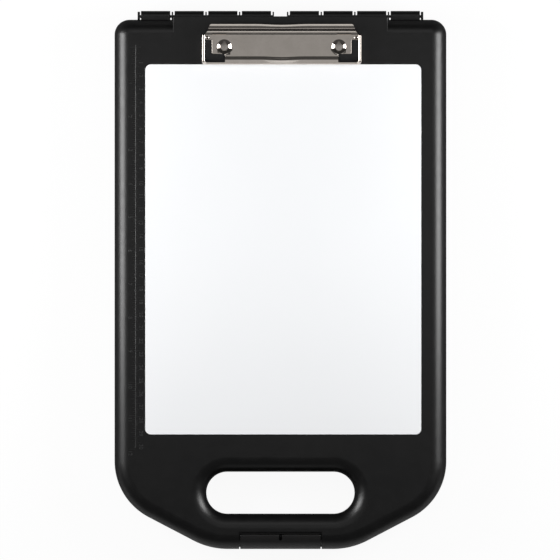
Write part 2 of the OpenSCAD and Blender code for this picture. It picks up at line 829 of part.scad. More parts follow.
// The L-shaped corner windows, which the rubber grips fill
function corner_window(side) = [for (p = [
    [window_out, window_front], [window_out, window_front + grip_long],
    [window_in, window_front + grip_long], [window_in, window_front + grip_front_d],
    [window_out - grip_front, window_front + grip_front_d], [window_out - grip_front, window_front]
]) [side * p[0], p[1]]];

module in_clip() {
    translate([clip_shift, clip_front_y, top_z])
        children();
}

module clip_jaw() {
    flange_r = jaw_h - pivot_h - 0.1;
    corner_r = 2.3;
    edge_h = 0.8;
    sheet_cut = 3.5;
    color([0.56, 0.54, 0.51])
    in_clip()
    difference() {
        union() {
            along_x(-clip_w / 2, clip_w / 2)
                polygon(concat(jaw_top(), jaw_under()));
            for (side = [-1, 1]) {
                x0 = side > 0 ? clip_w / 2 - jaw_t : -clip_w / 2;
                along_x(x0, x0 + jaw_t)
                    polygon([
                        [jaw_t + 0.1, jaw_gap], [slope_d, jaw_h - bend_drop - 0.2], [bend_d, jaw_h - 0.2],
                        [pivot_d, jaw_h - 0.2], [pivot_d, jaw_gap + edge_h], [pivot_d - 4, jaw_gap]
                    ]);
                rod_x(x0, x0 + jaw_t, pivot_d, pivot_h, flange_r);
            }
        }
        for (side = [-1, 1]) {
            translate([0, 0, jaw_h - sheet_cut])
                linear_extrude(height = sheet_cut + over)
                    polygon(lever_corner(side));
            translate([0, 0, jaw_gap + edge_h])
                linear_extrude(height = jaw_h)
                    polygon(corner_window(side));
            // Access holes over the rivets
            translate([side * rivet_x, rivet_d, jaw_h - sheet_cut])
                cylinder(h = sheet_cut + over, r = access_r);
            // Rounded front corners
            translate([side * (clip_w / 2 - corner_r), corner_r, -over])
                difference() {
                    box(
                        [side > 0 ? 0 : -corner_r - over, -corner_r - over, 0],
                        [side > 0 ? corner_r + over : 0, 0, jaw_h + 2 * over]
                    );
                    translate([0, 0, -over])
                        cylinder(h = jaw_h + 4 * over, r = corner_r);
                }
        }
        rod_x(-clip_w / 2 - over, clip_w / 2 + over, pivot_d, pivot_h, pivot_r + run_fit);
    }
}

module corner_grip(side) {
    sunk = 0.6;
    pin_room = 0.3;
    color([0.08, 0.08, 0.08])
    in_clip()
    difference() {
        intersection() {
            linear_extrude(height = jaw_h)
                polygon(corner_window(side));
            along_x(-clip_w / 2, clip_w / 2)
                polygon([
                    [window_front - over, jaw_gap], [window_front - over, jaw_gap + 0.2],
                    [slope_d, jaw_h - bend_drop - sunk], [bend_d, jaw_h - sunk],
                    [pivot_d + over, jaw_h - sunk], [pivot_d + over, jaw_gap]
                ]);
        }
        rod_x(-clip_w / 2, clip_w / 2, pivot_d, pivot_h, pivot_r + pin_room);
    }
}

module corner_grip_left() corner_grip(-1);

module corner_grip_right() corner_grip(1);

base_tray();
lid_shell();
writing_panel();
panel_tape();
hinge_pin_left();
hinge_pin_right();
latch();
latch_pin();
clip_base_plate();
clip_jaw();
clip_pivot_pin();
clip_spring_left();
clip_spring_right();
corner_grip_left();
corner_grip_right();
rivet_left();
rivet_right();
rivet_washer_left();
rivet_washer_right();
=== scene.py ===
"""Storage clipboard case, dressed: moulded shells, writing panel, ruler, latch and clip.

Every length in a class is in millimetres and is turned into metres where a mesh is made.
X runs across the case, +Y runs to the hinge and +Z is up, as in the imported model.
"""

import logging
import math
from dataclasses import dataclass
from enum import Enum

import bmesh
import bpy
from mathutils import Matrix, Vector


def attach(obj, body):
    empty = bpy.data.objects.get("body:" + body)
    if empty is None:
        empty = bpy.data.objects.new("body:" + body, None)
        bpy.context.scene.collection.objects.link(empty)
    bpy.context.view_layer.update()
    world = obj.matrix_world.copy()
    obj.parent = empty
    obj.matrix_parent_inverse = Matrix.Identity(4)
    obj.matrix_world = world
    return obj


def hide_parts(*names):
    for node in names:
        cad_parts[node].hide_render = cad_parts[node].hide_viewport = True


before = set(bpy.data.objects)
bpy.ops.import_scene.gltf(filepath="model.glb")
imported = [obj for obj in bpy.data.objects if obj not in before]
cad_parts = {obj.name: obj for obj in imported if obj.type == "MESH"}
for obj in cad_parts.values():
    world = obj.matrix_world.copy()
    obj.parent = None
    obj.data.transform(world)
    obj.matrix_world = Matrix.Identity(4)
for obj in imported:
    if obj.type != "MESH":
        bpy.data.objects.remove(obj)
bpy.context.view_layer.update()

MM = 0.001
WELD = 0.000002
ROUND_SIDES = 64

log = logging.getLogger("storage_case")

Knot = tuple[float, float]
Ring = list[Knot]
Level = tuple[Ring, float]
Point = tuple[float, float, float]
Piece = bpy.types.Object
Socket = bpy.types.NodeSocket


class Body(Enum):
    """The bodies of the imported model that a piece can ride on."""

    TRAY = "tray"
    LID = "lid"
    LATCH = "latch"
    JAW = "jaw"


class Pile(Enum):
    """The direction in which a stack of outlines is piled up."""

    UP = "up"
    ACROSS = "across"


class Shaping(Enum):
    """What one solid does to another."""

    CUT = "DIFFERENCE"
    JOIN = "UNION"
    KEEP_COMMON = "INTERSECT"


# ---- Outlines ----


def arc(cx: float, cy: float, r: float, start: float, end: float, steps: int) -> Ring:
    """Points of a turn about (cx, cy).

    Args:
        cx: First coordinate of the centre.
        cy: Second coordinate of the centre.
        r: Radius.
        start: First angle in degrees.
        end: Last angle in degrees.
        steps: Number of steps between the two.

    Returns:
        The points from start to end.
    """
    angles = [math.radians(start + (end - start) * i / steps) for i in range(steps + 1)]
    return [(cx + r * math.cos(a), cy + r * math.sin(a)) for a in angles]


def quarter(steps: int) -> list[float]:
    """Angles of a quarter turn.

    Args:
        steps: Number of steps.

    Returns:
        The angles from 0 to 90 degrees, in radians.
    """
    return [math.radians(90 * i / steps) for i in range(steps + 1)]


def round_over(r: float, z: float, steps: int) -> Ring:
    """A rounded top edge as pairs of inset and height.

    Args:
        r: Radius of the edge.
        z: Height where it begins.
        steps: Number of steps.

    Returns:
        The pairs, from the side to the top.
    """
    return [(r * (1 - math.cos(a)), z + r * math.sin(a)) for a in quarter(steps)]


def rounded_rectangle(x0: float, x1: float, y0: float, y1: float, r: float, steps: int = 8) -> Ring:
    """Outline of a rectangle with round corners.

    Args:
        x0: Lowest first coordinate.
        x1: Highest first coordinate.
        y0: Lowest second coordinate.
        y1: Highest second coordinate.
        r: Corner radius.
        steps: Steps in each corner.

    Returns:
        The outline, anticlockwise.
    """
    return (
        arc(x1 - r, y1 - r, r, 0, 90, steps)
        + arc(x0 + r, y1 - r, r, 90, 180, steps)
        + arc(x0 + r, y0 + r, r, 180, 270, steps)
        + arc(x1 - r, y0 + r, r, 270, 360, steps)
    )


def fillet(corners: list[Point], steps: int = 5) -> Ring:
    """Rounds the corners of an outline.

    Args:
        corners: Each corner as its two coordinates and its radius.
        steps: Steps in each rounded corner.

    Returns:
        The rounded outline.
    """
    ring = []
    for i, (x, y, r) in enumerate(corners):
        here = Vector((x, y))
        before = Vector(corners[i - 1][:2]) - here
        after = Vector(corners[(i + 1) % len(corners)][:2]) - here
        angle = before.angle(after)
        reach = min(r / math.tan(angle / 2), 0.45 * before.length, 0.45 * after.length)
        start, end = here + before.normalized() * reach, here + after.normalized() * reach
        for k in range(steps + 1):
            t = k / steps
            point = start * (1 - t) ** 2 + here * 2 * t * (1 - t) + end * t**2
            ring.append((point.x, point.y))
    return ring


def between(knots: Ring, at: float) -> float:
    """Reads a line of knots.

    Args:
        knots: Pairs of place and value, by rising place.
        at: The place.

    Returns:
        The value there; outside the knots, that of the nearest one.
    """
    for (d0, v0), (d1, v1) in zip(knots, knots[1:]):
        if at <= d1:
            return v0 + (v1 - v0) * max(at - d0, 0.0) / (d1 - d0)
    return knots[-1][1]


# ---- Form of the case ----


@dataclass(frozen=True)
class CaseForm:
    """Sizes and outlines that the tray and the lid share."""

    width: float = 251.6
    length: float = 401.4
    tray_h: float = 24.0
    lid_h: float = 15.0
    wall: float = 2.4
    seam: float = 0.3
    back_corner_r: float = 11.4
    shoulder_r: float = 11.4
    foot_r: float = 6.0
    side_turn_y: float = 66.7
    side_turn_r: float = 48.0
    slant: float = 27.6
    front_turn_r: float = 57.0
    slot_l: float = 112.5
    slot_w: float = 32.0
    grip_bar: float = 26.6
    slot_rim_r: float = 6.0
    grip_rim_r: float = 11.4
    slot_wall: float = 3.2
    grip_wall: float = 7.1
    hinge_back: float = 2.5
    knuckle_r: float = 4.2
    knuckle_l: float = 22.2
    knuckle_pitch: float = 25.5
    knuckles_side: int = 4
    first_fin_x: float = 5.45
    fin_t: float = 1.1
    end_fin_t: float = 1.8
    fin_r: float = 3.6
    hinge_pin_r: float = 1.1
    hinge_clear: float = 0.4
    edge_r: float = 0.35
    latch_half: float = 31.3
    latch_pin_z: float = 5.6
    latch_bead_turn: float = 8.0
    panel_box: tuple[float, ...] = (-102.5, 106.7, -117.15, 163.45)
    panel_corner_r: float = 4.3
    pin_clear: float = 0.05

    @property
    def front_y(self) -> float:
        """Front edge of the case."""
        return -(self.length + self.hinge_back + self.knuckle_r) / 2

    @property
    def back_y(self) -> float:
        """Back wall of the case."""
        return self.front_y + self.length

    @property
    def hinge_y(self) -> float:
        """Place of the hinge axis along the case."""
        return self.back_y + self.hinge_back

    @property
    def hinge_z(self) -> float:
        """Height of the hinge axis."""
        return self.tray_h + self.seam / 2

    @property
    def lid_z(self) -> float:
        """Lower edge of the lid."""
        return self.tray_h + self.seam

    @property
    def top_z(self) -> float:
        """Flat top of the lid."""
        return self.tray_h + self.lid_h

    @property
    def shoulder_z(self) -> float:
        """Height where the rounded edge of the lid begins."""
        return self.top_z - self.shoulder_r

    @property
    def slot_y(self) -> float:
        """Middle of the hand slot."""
        return self.front_y + self.grip_bar + self.slot_w / 2

    @property
    def fin_xs(self) -> list[float]:
        """Places of the fins on one side of the middle."""
        return [self.first_fin_x + i * self.knuckle_pitch for i in range(self.knuckles_side + 1)]

    @property
    def knuckle_xs(self) -> list[float]:
        """Middles of the knuckles on one side of the middle."""
        return [x + self.knuckle_pitch / 2 for x in self.fin_xs[:-1]]

    @property
    def hinge_end_x(self) -> float:
        """Outer end of each row of knuckles."""
        return self.fin_xs[-1] + self.end_fin_t / 2

    @property
    def land_half(self) -> float:
        """Half the width of the flat land behind the panel."""
        return self.fin_xs[-2] - self.fin_t / 2

    def outline(self, inset: float) -> Ring:
        """The case seen from above, moved inwards.

        Args:
            inset: Distance inside the outer wall.

        Returns:
            The outline, anticlockwise from the middle of the front.
        """
        s, c = math.sin(math.radians(self.slant)), math.cos(math.radians(self.slant))
        side_x, side_y = self.width / 2 - self.side_turn_r, self.front_y + self.side_turn_y
        front_cy = self.front_y + self.front_turn_r
        reach = s * side_x - c * side_y + self.side_turn_r - self.front_turn_r
        front_cx = (reach + c * front_cy) / s
        back_r = max(self.back_corner_r - inset, self.edge_r)
        back_x, back_y = self.width / 2 - inset - back_r, self.back_y - inset - back_r
        right = (
            arc(front_cx, front_cy, self.front_turn_r - inset, -90, self.slant - 90, 20)
            + arc(side_x, side_y, self.side_turn_r - inset, self.slant - 90, 0, 30)
            + arc(back_x, back_y, back_r, 0, 90, 16)
        )
        return right + [(-x, y) for x, y in reversed(right)]

    def slot(self, grow: float) -> Ring:
        """The hand slot seen from above, grown outwards, as an anticlockwise outline."""
        half, r = self.slot_l / 2 - self.slot_w / 2, self.slot_w / 2 + grow
        return arc(half, self.slot_y, r, -90, 90, 36) + arc(-half, self.slot_y, r, 90, 270, 36)

    def round_up(self, inset: float, z0: float, r: float, steps: int) -> list[Level]:
        """Rounded top edge of radius r from z0 upwards, its side inset from the outer wall."""
        return [(self.outline(inset + run), z) for run, z in round_over(r, z0, steps)]

    def round_down(self, inset: float, z1: float, r: float, steps: int) -> list[Level]:
        """Rounded bottom edge of radius r up to z1, its side inset from the outer wall."""
        return [(self.outline(inset + r * (1 - math.sin(a))), z1 - r * math.cos(a)) for a in quarter(steps)]

    def rail_y(self) -> float:
        """Front of the rail that carries the hinge, as its place along the case."""
        return self.back_y - (self.knuckle_r + self.hinge_clear - self.hinge_back + self.wall)


# ---- Solids ----


def solid(name: str, points: list[Point], faces: list[list[int]]) -> Piece:
    """Makes a mesh object from points in millimetres.

    Args:
        name: Name of the object.
        points: The corners.
        faces: The faces as indices of corners.

    Returns:
        The new object, in the scene.
    """
    mesh = bpy.data.meshes.new(name)
    mesh.from_pydata([tuple(v * MM for v in p) for p in points], [], faces)
    work = bmesh.new()
    work.from_mesh(mesh)
    bmesh.ops.recalc_face_normals(work, faces=work.faces)
    work.to_mesh(mesh)
    work.free()
    piece = bpy.data.objects.new(name, mesh)
    bpy.context.scene.collection.objects.link(piece)
    return piece


def loft(name: str, levels: list[Level], pile: Pile = Pile.UP) -> Piece:
    """Closes a skin over a stack of outlines with equal numbers of points.

    Args:
        name: Name of the object.
        levels: The outlines and their heights, or their places across the case.
        pile: Which way the stack runs; across takes outlines drawn in Y and Z.

    Returns:
        The closed solid.
    """
    n, m = len(levels[0][0]), len(levels)
    points = [(u, v, h) if pile is Pile.UP else (h, u, v) for ring, h in levels for u, v in ring]
    faces = [
        [k * n + i, k * n + (i + 1) % n, (k + 1) * n + (i + 1) % n, (k + 1) * n + i]
        for k in range(m - 1)
        for i in range(n)
    ]
    faces += [list(range(n))[::-1], [(m - 1) * n + i for i in range(n)]]
    return solid(name, points, faces)


def prism(name: str, ring: Ring, x0: float, x1: float) -> Piece:
    """Draws a profile out across the case.

    Args:
        name: Name of the object.
        ring: The profile in Y and Z.
        x0: One end.
        x1: The other end.

    Returns:
        The closed solid.
    """
    return loft(name, [(ring, x0), (ring, x1)], Pile.ACROSS)


def block(name: str, low: Point, high: Point) -> Piece:
    """A plain box, used to shape other solids.

    Args:
        name: Name of the object.
        low: Its lowest corner.
        high: Its highest corner.

    Returns:
        The closed solid.
    """
    ring = [(low[0], low[1]), (high[0], low[1]), (high[0], high[1]), (low[0], high[1])]
    return loft(name, [(ring, low[2]), (ring, high[2])])


def rod(name: str, x0: float, x1: float, y: float, z: float, r: float, ease: float = 0.0) -> Piece:
    """A round bar across the case.

    Args:
        name: Name of the object.
        x0: One end.
        x1: The other end.
        y: Place along the case.
        z: Height.
        r: Radius.
        ease: Chamfer at both ends.

    Returns:
        The bar.
    """
    last = ROUND_SIDES - 1
    whole, small, mid = (arc(y, z, r - in_by, 0, 360 * last / ROUND_SIDES, last) for in_by in (0, ease, 0.3 * ease))
    if not ease:
        return loft(name, [(whole, x0), (whole, x1)], Pile.ACROSS)
    levels = [(small, x0), (mid, x0 + 0.3 * ease), (whole, x0 + ease)]
    levels += [(whole, x1 - ease), (mid, x1 - 0.3 * ease), (small, x1)]
    return loft(name, levels, Pile.ACROSS)


def post(name: str, x: float, y: float, levels: Ring, sides: int = ROUND_SIDES) -> Piece:
    """A round upright turned to a profile.

    Args:
        name: Name of the object.
        x: Place across the case.
        y: Place along the case.
        levels: Pairs of radius and height.
        sides: Steps round it.

    Returns:
        The upright.
    """
    last = 360 * (sides - 1) / sides
    return loft(name, [(arc(x, y, r, 0, last, sides - 1), z) for r, z in levels])


def settle(piece: Piece) -> Piece:
    """Turns the piece's modifiers into its own mesh.

    Args:
        piece: The piece.

    Returns:
        The same piece.
    """
    bpy.context.view_layer.update()
    shown = piece.evaluated_get(bpy.context.evaluated_depsgraph_get())
    mesh, old = bpy.data.meshes.new_from_object(shown), piece.data
    piece.modifiers.clear()
    piece.data = mesh
    bpy.data.meshes.remove(old)
    return piece


def shape(base: Piece, how: Shaping, *tools: Piece) -> Piece:
    """Cuts, joins or intersects a solid with others, which are used up.

    Args:
        base: The solid that is changed.
        how: What the tools do to it.
        tools: The other solids.

    Returns:
        The base.
    """
    for tool in tools:
        step = base.modifiers.new(tool.name, "BOOLEAN")
        step.operation, step.solver, step.object = how.value, "MANIFOLD", tool
    settle(base)
    for tool in tools:
        bpy.data.objects.remove(tool, do_unlink=True)
    return base


def join_as_mesh(name: str, parts: list[Piece]) -> Piece:
    """Turns curves, texts or meshes into one mesh in the frame's own axes, and uses them up.

    Args:
        name: Name of the new object.
        parts: What is joined.

    Returns:
        The new object.
    """
    bpy.context.view_layer.update()
    graph = bpy.context.evaluated_depsgraph_get()
    work = bmesh.new()
    for part in parts:
        mesh = bpy.data.meshes.new_from_object(part.evaluated_get(graph))
        mesh.transform(part.matrix_world)
        work.from_mesh(mesh)
        bpy.data.meshes.remove(mesh)
    mesh = bpy.data.meshes.new(name)
    bmesh.ops.remove_doubles(work, verts=work.verts, dist=WELD)
    work.to_mesh(mesh)
    work.free()
    for part in parts:
        bpy.data.objects.remove(part, do_unlink=True)
    piece = bpy.data.objects.new(name, mesh)
    bpy.context.scene.collection.objects.link(piece)
    return piece


def ease_edges(piece: Piece, width: float, steps: int = 3, angle: float = 35.0) -> Piece:
    """Rounds the sharp edges of a simple solid.

    Args:
        piece: The solid.
        width: Width of the rounding.
        steps: Steps across it.
        angle: Edges sharper than this many degrees are rounded.

    Returns:
        The same piece.
    """
    step = piece.modifiers.new("eased", "BEVEL")
    step.width, step.segments = width * MM, steps
    step.limit_method, step.angle_limit = "ANGLE", math.radians(angle)
    step.use_clamp_overlap = True
    return settle(piece)


def even_shading(piece: Piece, angle: float = 32.0, weighted: bool = True) -> Piece:
    """Shades curved faces smoothly up to the given edge angle.

    Args:
        piece: The piece.
        angle: Edges sharper than this many degrees stay sharp.
        weighted: Whether large flat faces are also kept flat.

    Returns:
        The piece.
    """
    piece.data.shade_smooth()
    piece.data.set_sharp_from_angle(angle=math.radians(angle))
    if not weighted:
        return piece
    step = piece.modifiers.new("even_shading", "WEIGHTED_NORMAL")
    step.keep_sharp, step.weight = True, 80
    return piece


# ---- Finishes ----


class Wiring:
    """A node tree under construction."""

    def __init__(self, owner: bpy.types.ID) -> None:
        """Starts with an empty tree.

        Args:
            owner: The material or world that the tree belongs to.
        """
        owner.use_nodes = True
        self.tree = owner.node_tree
        self.tree.nodes.clear()

    def add(self, kind: str, **settings: object) -> bpy.types.Node:
        """Adds a node.

        Args:
            kind: Its type.
            settings: Its properties.

        Returns:
            The node.
        """
        node = self.tree.nodes.new(kind)
        for key, value in settings.items():
            setattr(node, key, value)
        return node

    def feed(self, target: Socket, source: object) -> None:
        """Feeds a socket.

        Args:
            target: The socket.
            source: Another socket to join it to, or the value to set on it.
        """
        if isinstance(source, Socket):
            self.tree.links.new(source, target)
        else:
            target.default_value = source

    def spread(self, grey: Socket, low: object, high: float, start: float = 0.3, end: float = 0.7) -> Socket:
        """Maps a grey value from start..end to low..high.

        Args:
            grey: The value.
            low: Result at start, as a number or a socket.
            high: Result at end.
            start: Value that gives low.
            end: Value that gives high.

        Returns:
            The result.
        """
        span = self.add("ShaderNodeMapRange")
        for key, value in {"Value": grey, "From Min": start, "From Max": end, "To Min": low, "To Max": high}.items():
            self.feed(span.inputs[key], value)
        return span.outputs["Result"]

    def calc(self, how: str, *terms: object) -> Socket:
        """Calculates with numbers and sockets.

        Args:
            how: The operation.
            terms: Its terms.

        Returns:
            The result.
        """
        step = self.add("ShaderNodeMath", operation=how)
        for target, term in zip(step.inputs, terms):
            self.feed(target, term)
        return step.outputs["Value"]

    def blend(self, share: Socket, first: Socket, second: Socket, end: str) -> None:
        """Blends two shaders into the output of the tree.

        Args:
            share: Share of the second.
            first: The first shader.
            second: The second shader.
            end: Type of the output node.
        """
        mix = self.add("ShaderNodeMixShader")
        for target, source in zip(mix.inputs, (share, first, second)):
            self.feed(target, source)
        self.feed(self.add(end).inputs["Surface"], mix.outputs["Shader"])

    def white_share(self, path: bpy.types.Node, clear: Socket) -> Socket:
        """Share of white that each kind of ray sees.

        Args:
            path: The light path.
            clear: Share of it in reflections.

        Returns:
            The share: all of it to the camera and through clear pieces.
        """
        gloss = self.calc("MULTIPLY", clear, path.outputs["Is Glossy Ray"])
        seen = self.calc("MAXIMUM", path.outputs["Is Camera Ray"], gloss)
        return self.calc("MAXIMUM", seen, path.outputs["Is Transmission Ray"])


class Recipe(Wiring):
    """A node material with its one surface shader."""

    def __init__(self, name: str) -> None:
        """Starts a material with a surface shader and object coordinates.

        Args:
            name: Name of the material.
        """
        self.material = bpy.data.materials.new(name)
        super().__init__(self.material)
        self.surface = self.add("ShaderNodeBsdfPrincipled")
        self.feed(self.add("ShaderNodeOutputMaterial").inputs["Surface"], self.surface.outputs["BSDF"])
        self.place = self.add("ShaderNodeTexCoord").outputs["Object"]

    def put(self, **values: object) -> None:
        """Feeds the surface shader's own sockets; underscores stand for the spaces of their names."""
        for key, value in values.items():
            self.feed(self.surface.inputs[key.replace("_", " ")], value)

    def noise(self, scale: float, detail: float = 2.0, stretch: Point = (1, 1, 1)) -> Socket:
        """Noise in the piece's own metres.

        Args:
            scale: Waves per metre.
            detail: Octaves.
            stretch: Factors along X, Y and Z.

        Returns:
            The grey output.
        """
        source = self.place
        if stretch != (1, 1, 1):
            turn = self.add("ShaderNodeMapping")
            self.feed(turn.inputs["Scale"], stretch)
            self.feed(turn.inputs["Vector"], self.place)
            source = turn.outputs["Vector"]
        noise = self.add("ShaderNodeTexNoise")
        for key, value in {"Scale": scale, "Detail": detail, "Vector": source}.items():
            self.feed(noise.inputs[key], value)
        return noise.outputs["Fac"]

    def tint(self, grey: Socket, first: Point, second: Point) -> None:
        """Varies the base colour.

        Args:
            grey: The value that varies it.
            first: Colour where it is low.
            second: Colour where it is high.
        """
        mix = self.add("ShaderNodeMix", data_type="RGBA")
        for key, value in {"A": (*first, 1), "B": (*second, 1), "Factor": self.spread(grey, 0, 1)}.items():
            self.feed(mix.inputs[key], value)
        self.put(Base_Color=mix.outputs["Result"])

    def bumps(self, *layers: tuple[Socket, float, float]) -> None:
        """Stacks layers of bump.

        Args:
            layers: For each, a grey value, its depth in millimetres and its strength.
        """
        below = None
        for grey, depth, strength in layers:
            bump = self.add("ShaderNodeBump")
            for key, value in {"Strength": strength, "Distance": depth * MM, "Height": grey}.items():
                self.feed(bump.inputs[key], value)
            if below:
                self.feed(bump.inputs["Normal"], below)
            below = bump.outputs["Normal"]
        self.put(Normal=below)


@dataclass(frozen=True)
class MouldedPlastic:
    """Plastic with a fine eroded grain and a slightly uneven gloss."""

    name: str
    colour: Point
    second: Point
    rough_low: float
    rough_high: float
    specular: float
    grain: float = 3200.0
    grain_depth: float = 0.02
    grain_strength: float = 0.25

    def material(self) -> bpy.types.Material:
        """Makes the material.

        Returns:
            The material.
        """
        recipe = Recipe(self.name)
        recipe.put(Specular_IOR_Level=self.specular, IOR=1.5)
        recipe.tint(recipe.noise(22.0, 3.0), self.colour, self.second)
        recipe.put(Roughness=recipe.spread(recipe.noise(160.0, 4.0), self.rough_low, self.rough_high))
        recipe.bumps(
            (recipe.noise(12.0, 1.0), 0.05, 0.3),
            (recipe.noise(self.grain, 2.0), self.grain_depth, self.grain_strength),
        )
        return recipe.material


@dataclass(frozen=True)
class SheetMetal:
    """Plated or drawn metal with fine lines from rolling and small cloudy marks."""

    name: str
    colour: Point
    second: Point
    rough_low: float
    rough_high: float
    lines: Point = (4.0, 400.0, 400.0)
    line_depth: float = 0.002

    def material(self) -> bpy.types.Material:
        """Makes the material.

        Returns:
            The material.
        """
        recipe = Recipe(self.name)
        recipe.put(Metallic=1.0)
        recipe.tint(recipe.noise(90.0, 4.0), self.colour, self.second)
        recipe.put(Roughness=recipe.spread(recipe.noise(240.0, 3.0), self.rough_low, self.rough_high))
        recipe.bumps(
            (recipe.noise(60.0, 2.0), 0.008, 0.2),
            (recipe.noise(6.0, 3.0, self.lines), self.line_depth, 0.25),
        )
        return recipe.material


@dataclass(frozen=True)
class WipeBoard:
    """Smooth white face of the writing panel, with the faint traces of wiping."""

    name: str = "panel_white"
    colour: Point = (0.93, 0.94, 0.955)
    second: Point = (0.915, 0.925, 0.94)
    rough_low: float = 0.28
    rough_high: float = 0.29
    coat: float = 0.25
    coat_rough: float = 0.12

    def material(self) -> bpy.types.Material:
        """Makes the material.

        Returns:
            The material.
        """
        recipe = Recipe(self.name)
        recipe.put(Specular_IOR_Level=0.5, Coat_Weight=self.coat, Coat_Roughness=self.coat_rough)
        recipe.tint(recipe.noise(9.0, 2.0), self.colour, self.second)
        wiping = recipe.noise(14.0, 4.0, (1.0, 7.0, 1.0))
        recipe.put(Roughness=recipe.spread(wiping, self.rough_low, self.rough_high))
        recipe.bumps((recipe.noise(900.0, 2.0), 0.004, 0.12))
        return recipe.material


@dataclass(frozen=True)
class SoftRubber:
    """Dark rubber with a dull, slightly dusty face."""

    name: str = "grip_rubber"
    colour: Point = (0.004, 0.004, 0.0045)
    second: Point = (0.008, 0.0078, 0.0078)
    rough_low: float = 0.62
    rough_high: float = 0.8

    def material(self) -> bpy.types.Material:
        """Makes the material.

        Returns:
            The material.
        """
        recipe = Recipe(self.name)
        recipe.put(Specular_IOR_Level=0.3)
        recipe.tint(recipe.noise(700.0, 4.0), self.colour, self.second)
        recipe.put(Roughness=recipe.spread(recipe.noise(400.0, 3.0), self.rough_low, self.rough_high))
        recipe.bumps((recipe.noise(1500.0, 3.0), 0.03, 0.4))
        return recipe.material


@dataclass(frozen=True)
class FoamTape:
    """Thin double-sided tape with a woven backing."""

    name: str = "tape_foam"
    colour: Point = (0.60, 0.58, 0.52)
    second: Point = (0.50, 0.48, 0.43)
    rough_low: float = 0.7
    rough_high: float = 0.85

    def material(self) -> bpy.types.Material:
        """Makes the material.

        Returns:
            The material.
        """
        recipe = Recipe(self.name)
        recipe.tint(recipe.noise(300.0, 3.0), self.colour, self.second)
        recipe.put(Roughness=recipe.spread(recipe.noise(500.0, 2.0), self.rough_low, self.rough_high))
        recipe.bumps((recipe.noise(1200.0, 2.0, (1, 1, 4)), 0.03, 0.4))
        return recipe.material


class Finishes:
    """All materials of the case, made once."""

    def __init__(self) -> None:
        """Makes every material."""
        self.shell = MouldedPlastic(
            "shell_plastic", (0.0026, 0.0026, 0.0028), (0.0034, 0.0033, 0.0033), 0.33, 0.39, 0.55
        ).material()
        self.latch = MouldedPlastic(
            "latch_plastic", (0.0125, 0.012, 0.012), (0.0145, 0.014, 0.014), 0.32, 0.38, 0.5, 4200.0, 0.01, 0.15
        ).material()
        # Painted highlight: the ruler's raised marks are the shell plastic, but this copy is lighter in colour and
        # glossier to stand in for the light their sloping sides catch.
        self.marks = MouldedPlastic(
            "ruler_relief_painted_highlight", (0.009, 0.009, 0.0095), (0.011, 0.0108, 0.0108), 0.30, 0.38, 1.0, 4200.0, 0.008, 0.12
        ).material()
        self.panel = WipeBoard().material()
        self.tape = FoamTape().material()
        wire, cloudy = (8.0, 600.0, 600.0), (60.0, 60.0, 60.0)
        metals = (
            ("clip_nickel", (0.70, 0.64, 0.585), (0.65, 0.595, 0.54), 0.07, 0.12),
            ("rivet_nickel", (0.76, 0.71, 0.66), (0.66, 0.61, 0.56), 0.14, 0.24, (40.0, 40.0, 40.0)),
            ("washer_zinc", (0.52, 0.52, 0.53), (0.40, 0.40, 0.41), 0.34, 0.5, cloudy),
            ("spring_wire", (0.42, 0.41, 0.40), (0.30, 0.29, 0.28), 0.26, 0.4, cloudy),
            ("bright_pin", (0.60, 0.59, 0.58), (0.50, 0.49, 0.48), 0.2, 0.32, wire),
            ("blackened_pin", (0.055, 0.055, 0.058), (0.035, 0.035, 0.036), 0.36, 0.5, wire),
        )
        self.nickel, self.rivet, self.washer, self.spring, self.pin, self.dark_pin = (
            SheetMetal(*metal).material() for metal in metals
        )
        self.rubber = SoftRubber().material()


def dress(piece: Piece, finish: bpy.types.Material, body: Body, slot: str, *nodes: str) -> Piece:
    """Gives a finished piece its material and its body, and hides the nodes it stands for.

    Args:
        piece: The finished piece.
        finish: Its material.
        body: The body it rides on.
        slot: Name of a material slot; not used.
        nodes: CAD nodes it stands for.

    Returns:
        The piece.
    """
    piece.data.materials.clear()
    piece.data.materials.append(finish)
    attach(piece, body.value)
    if nodes:
        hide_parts(*nodes)
    log.info("%s: %d faces, on %s", piece.name, len(piece.data.polygons), body.value)
    return piece


def dress_node(node: str, finish: bpy.types.Material, angle: float = 32.0) -> None:
    """Gives a node that stays its material and smooth shading.

    Args:
        node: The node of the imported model.
        finish: Its material.
        angle: Edges sharper than this many degrees stay sharp.
    """
    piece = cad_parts[node]
    piece.data.materials.clear()
    piece.data.materials.append(finish)
    even_shading(piece, angle, weighted=False)
    log.info("%s: kept, %d faces", node, len(piece.data.polygons))


# ---- Tray ----


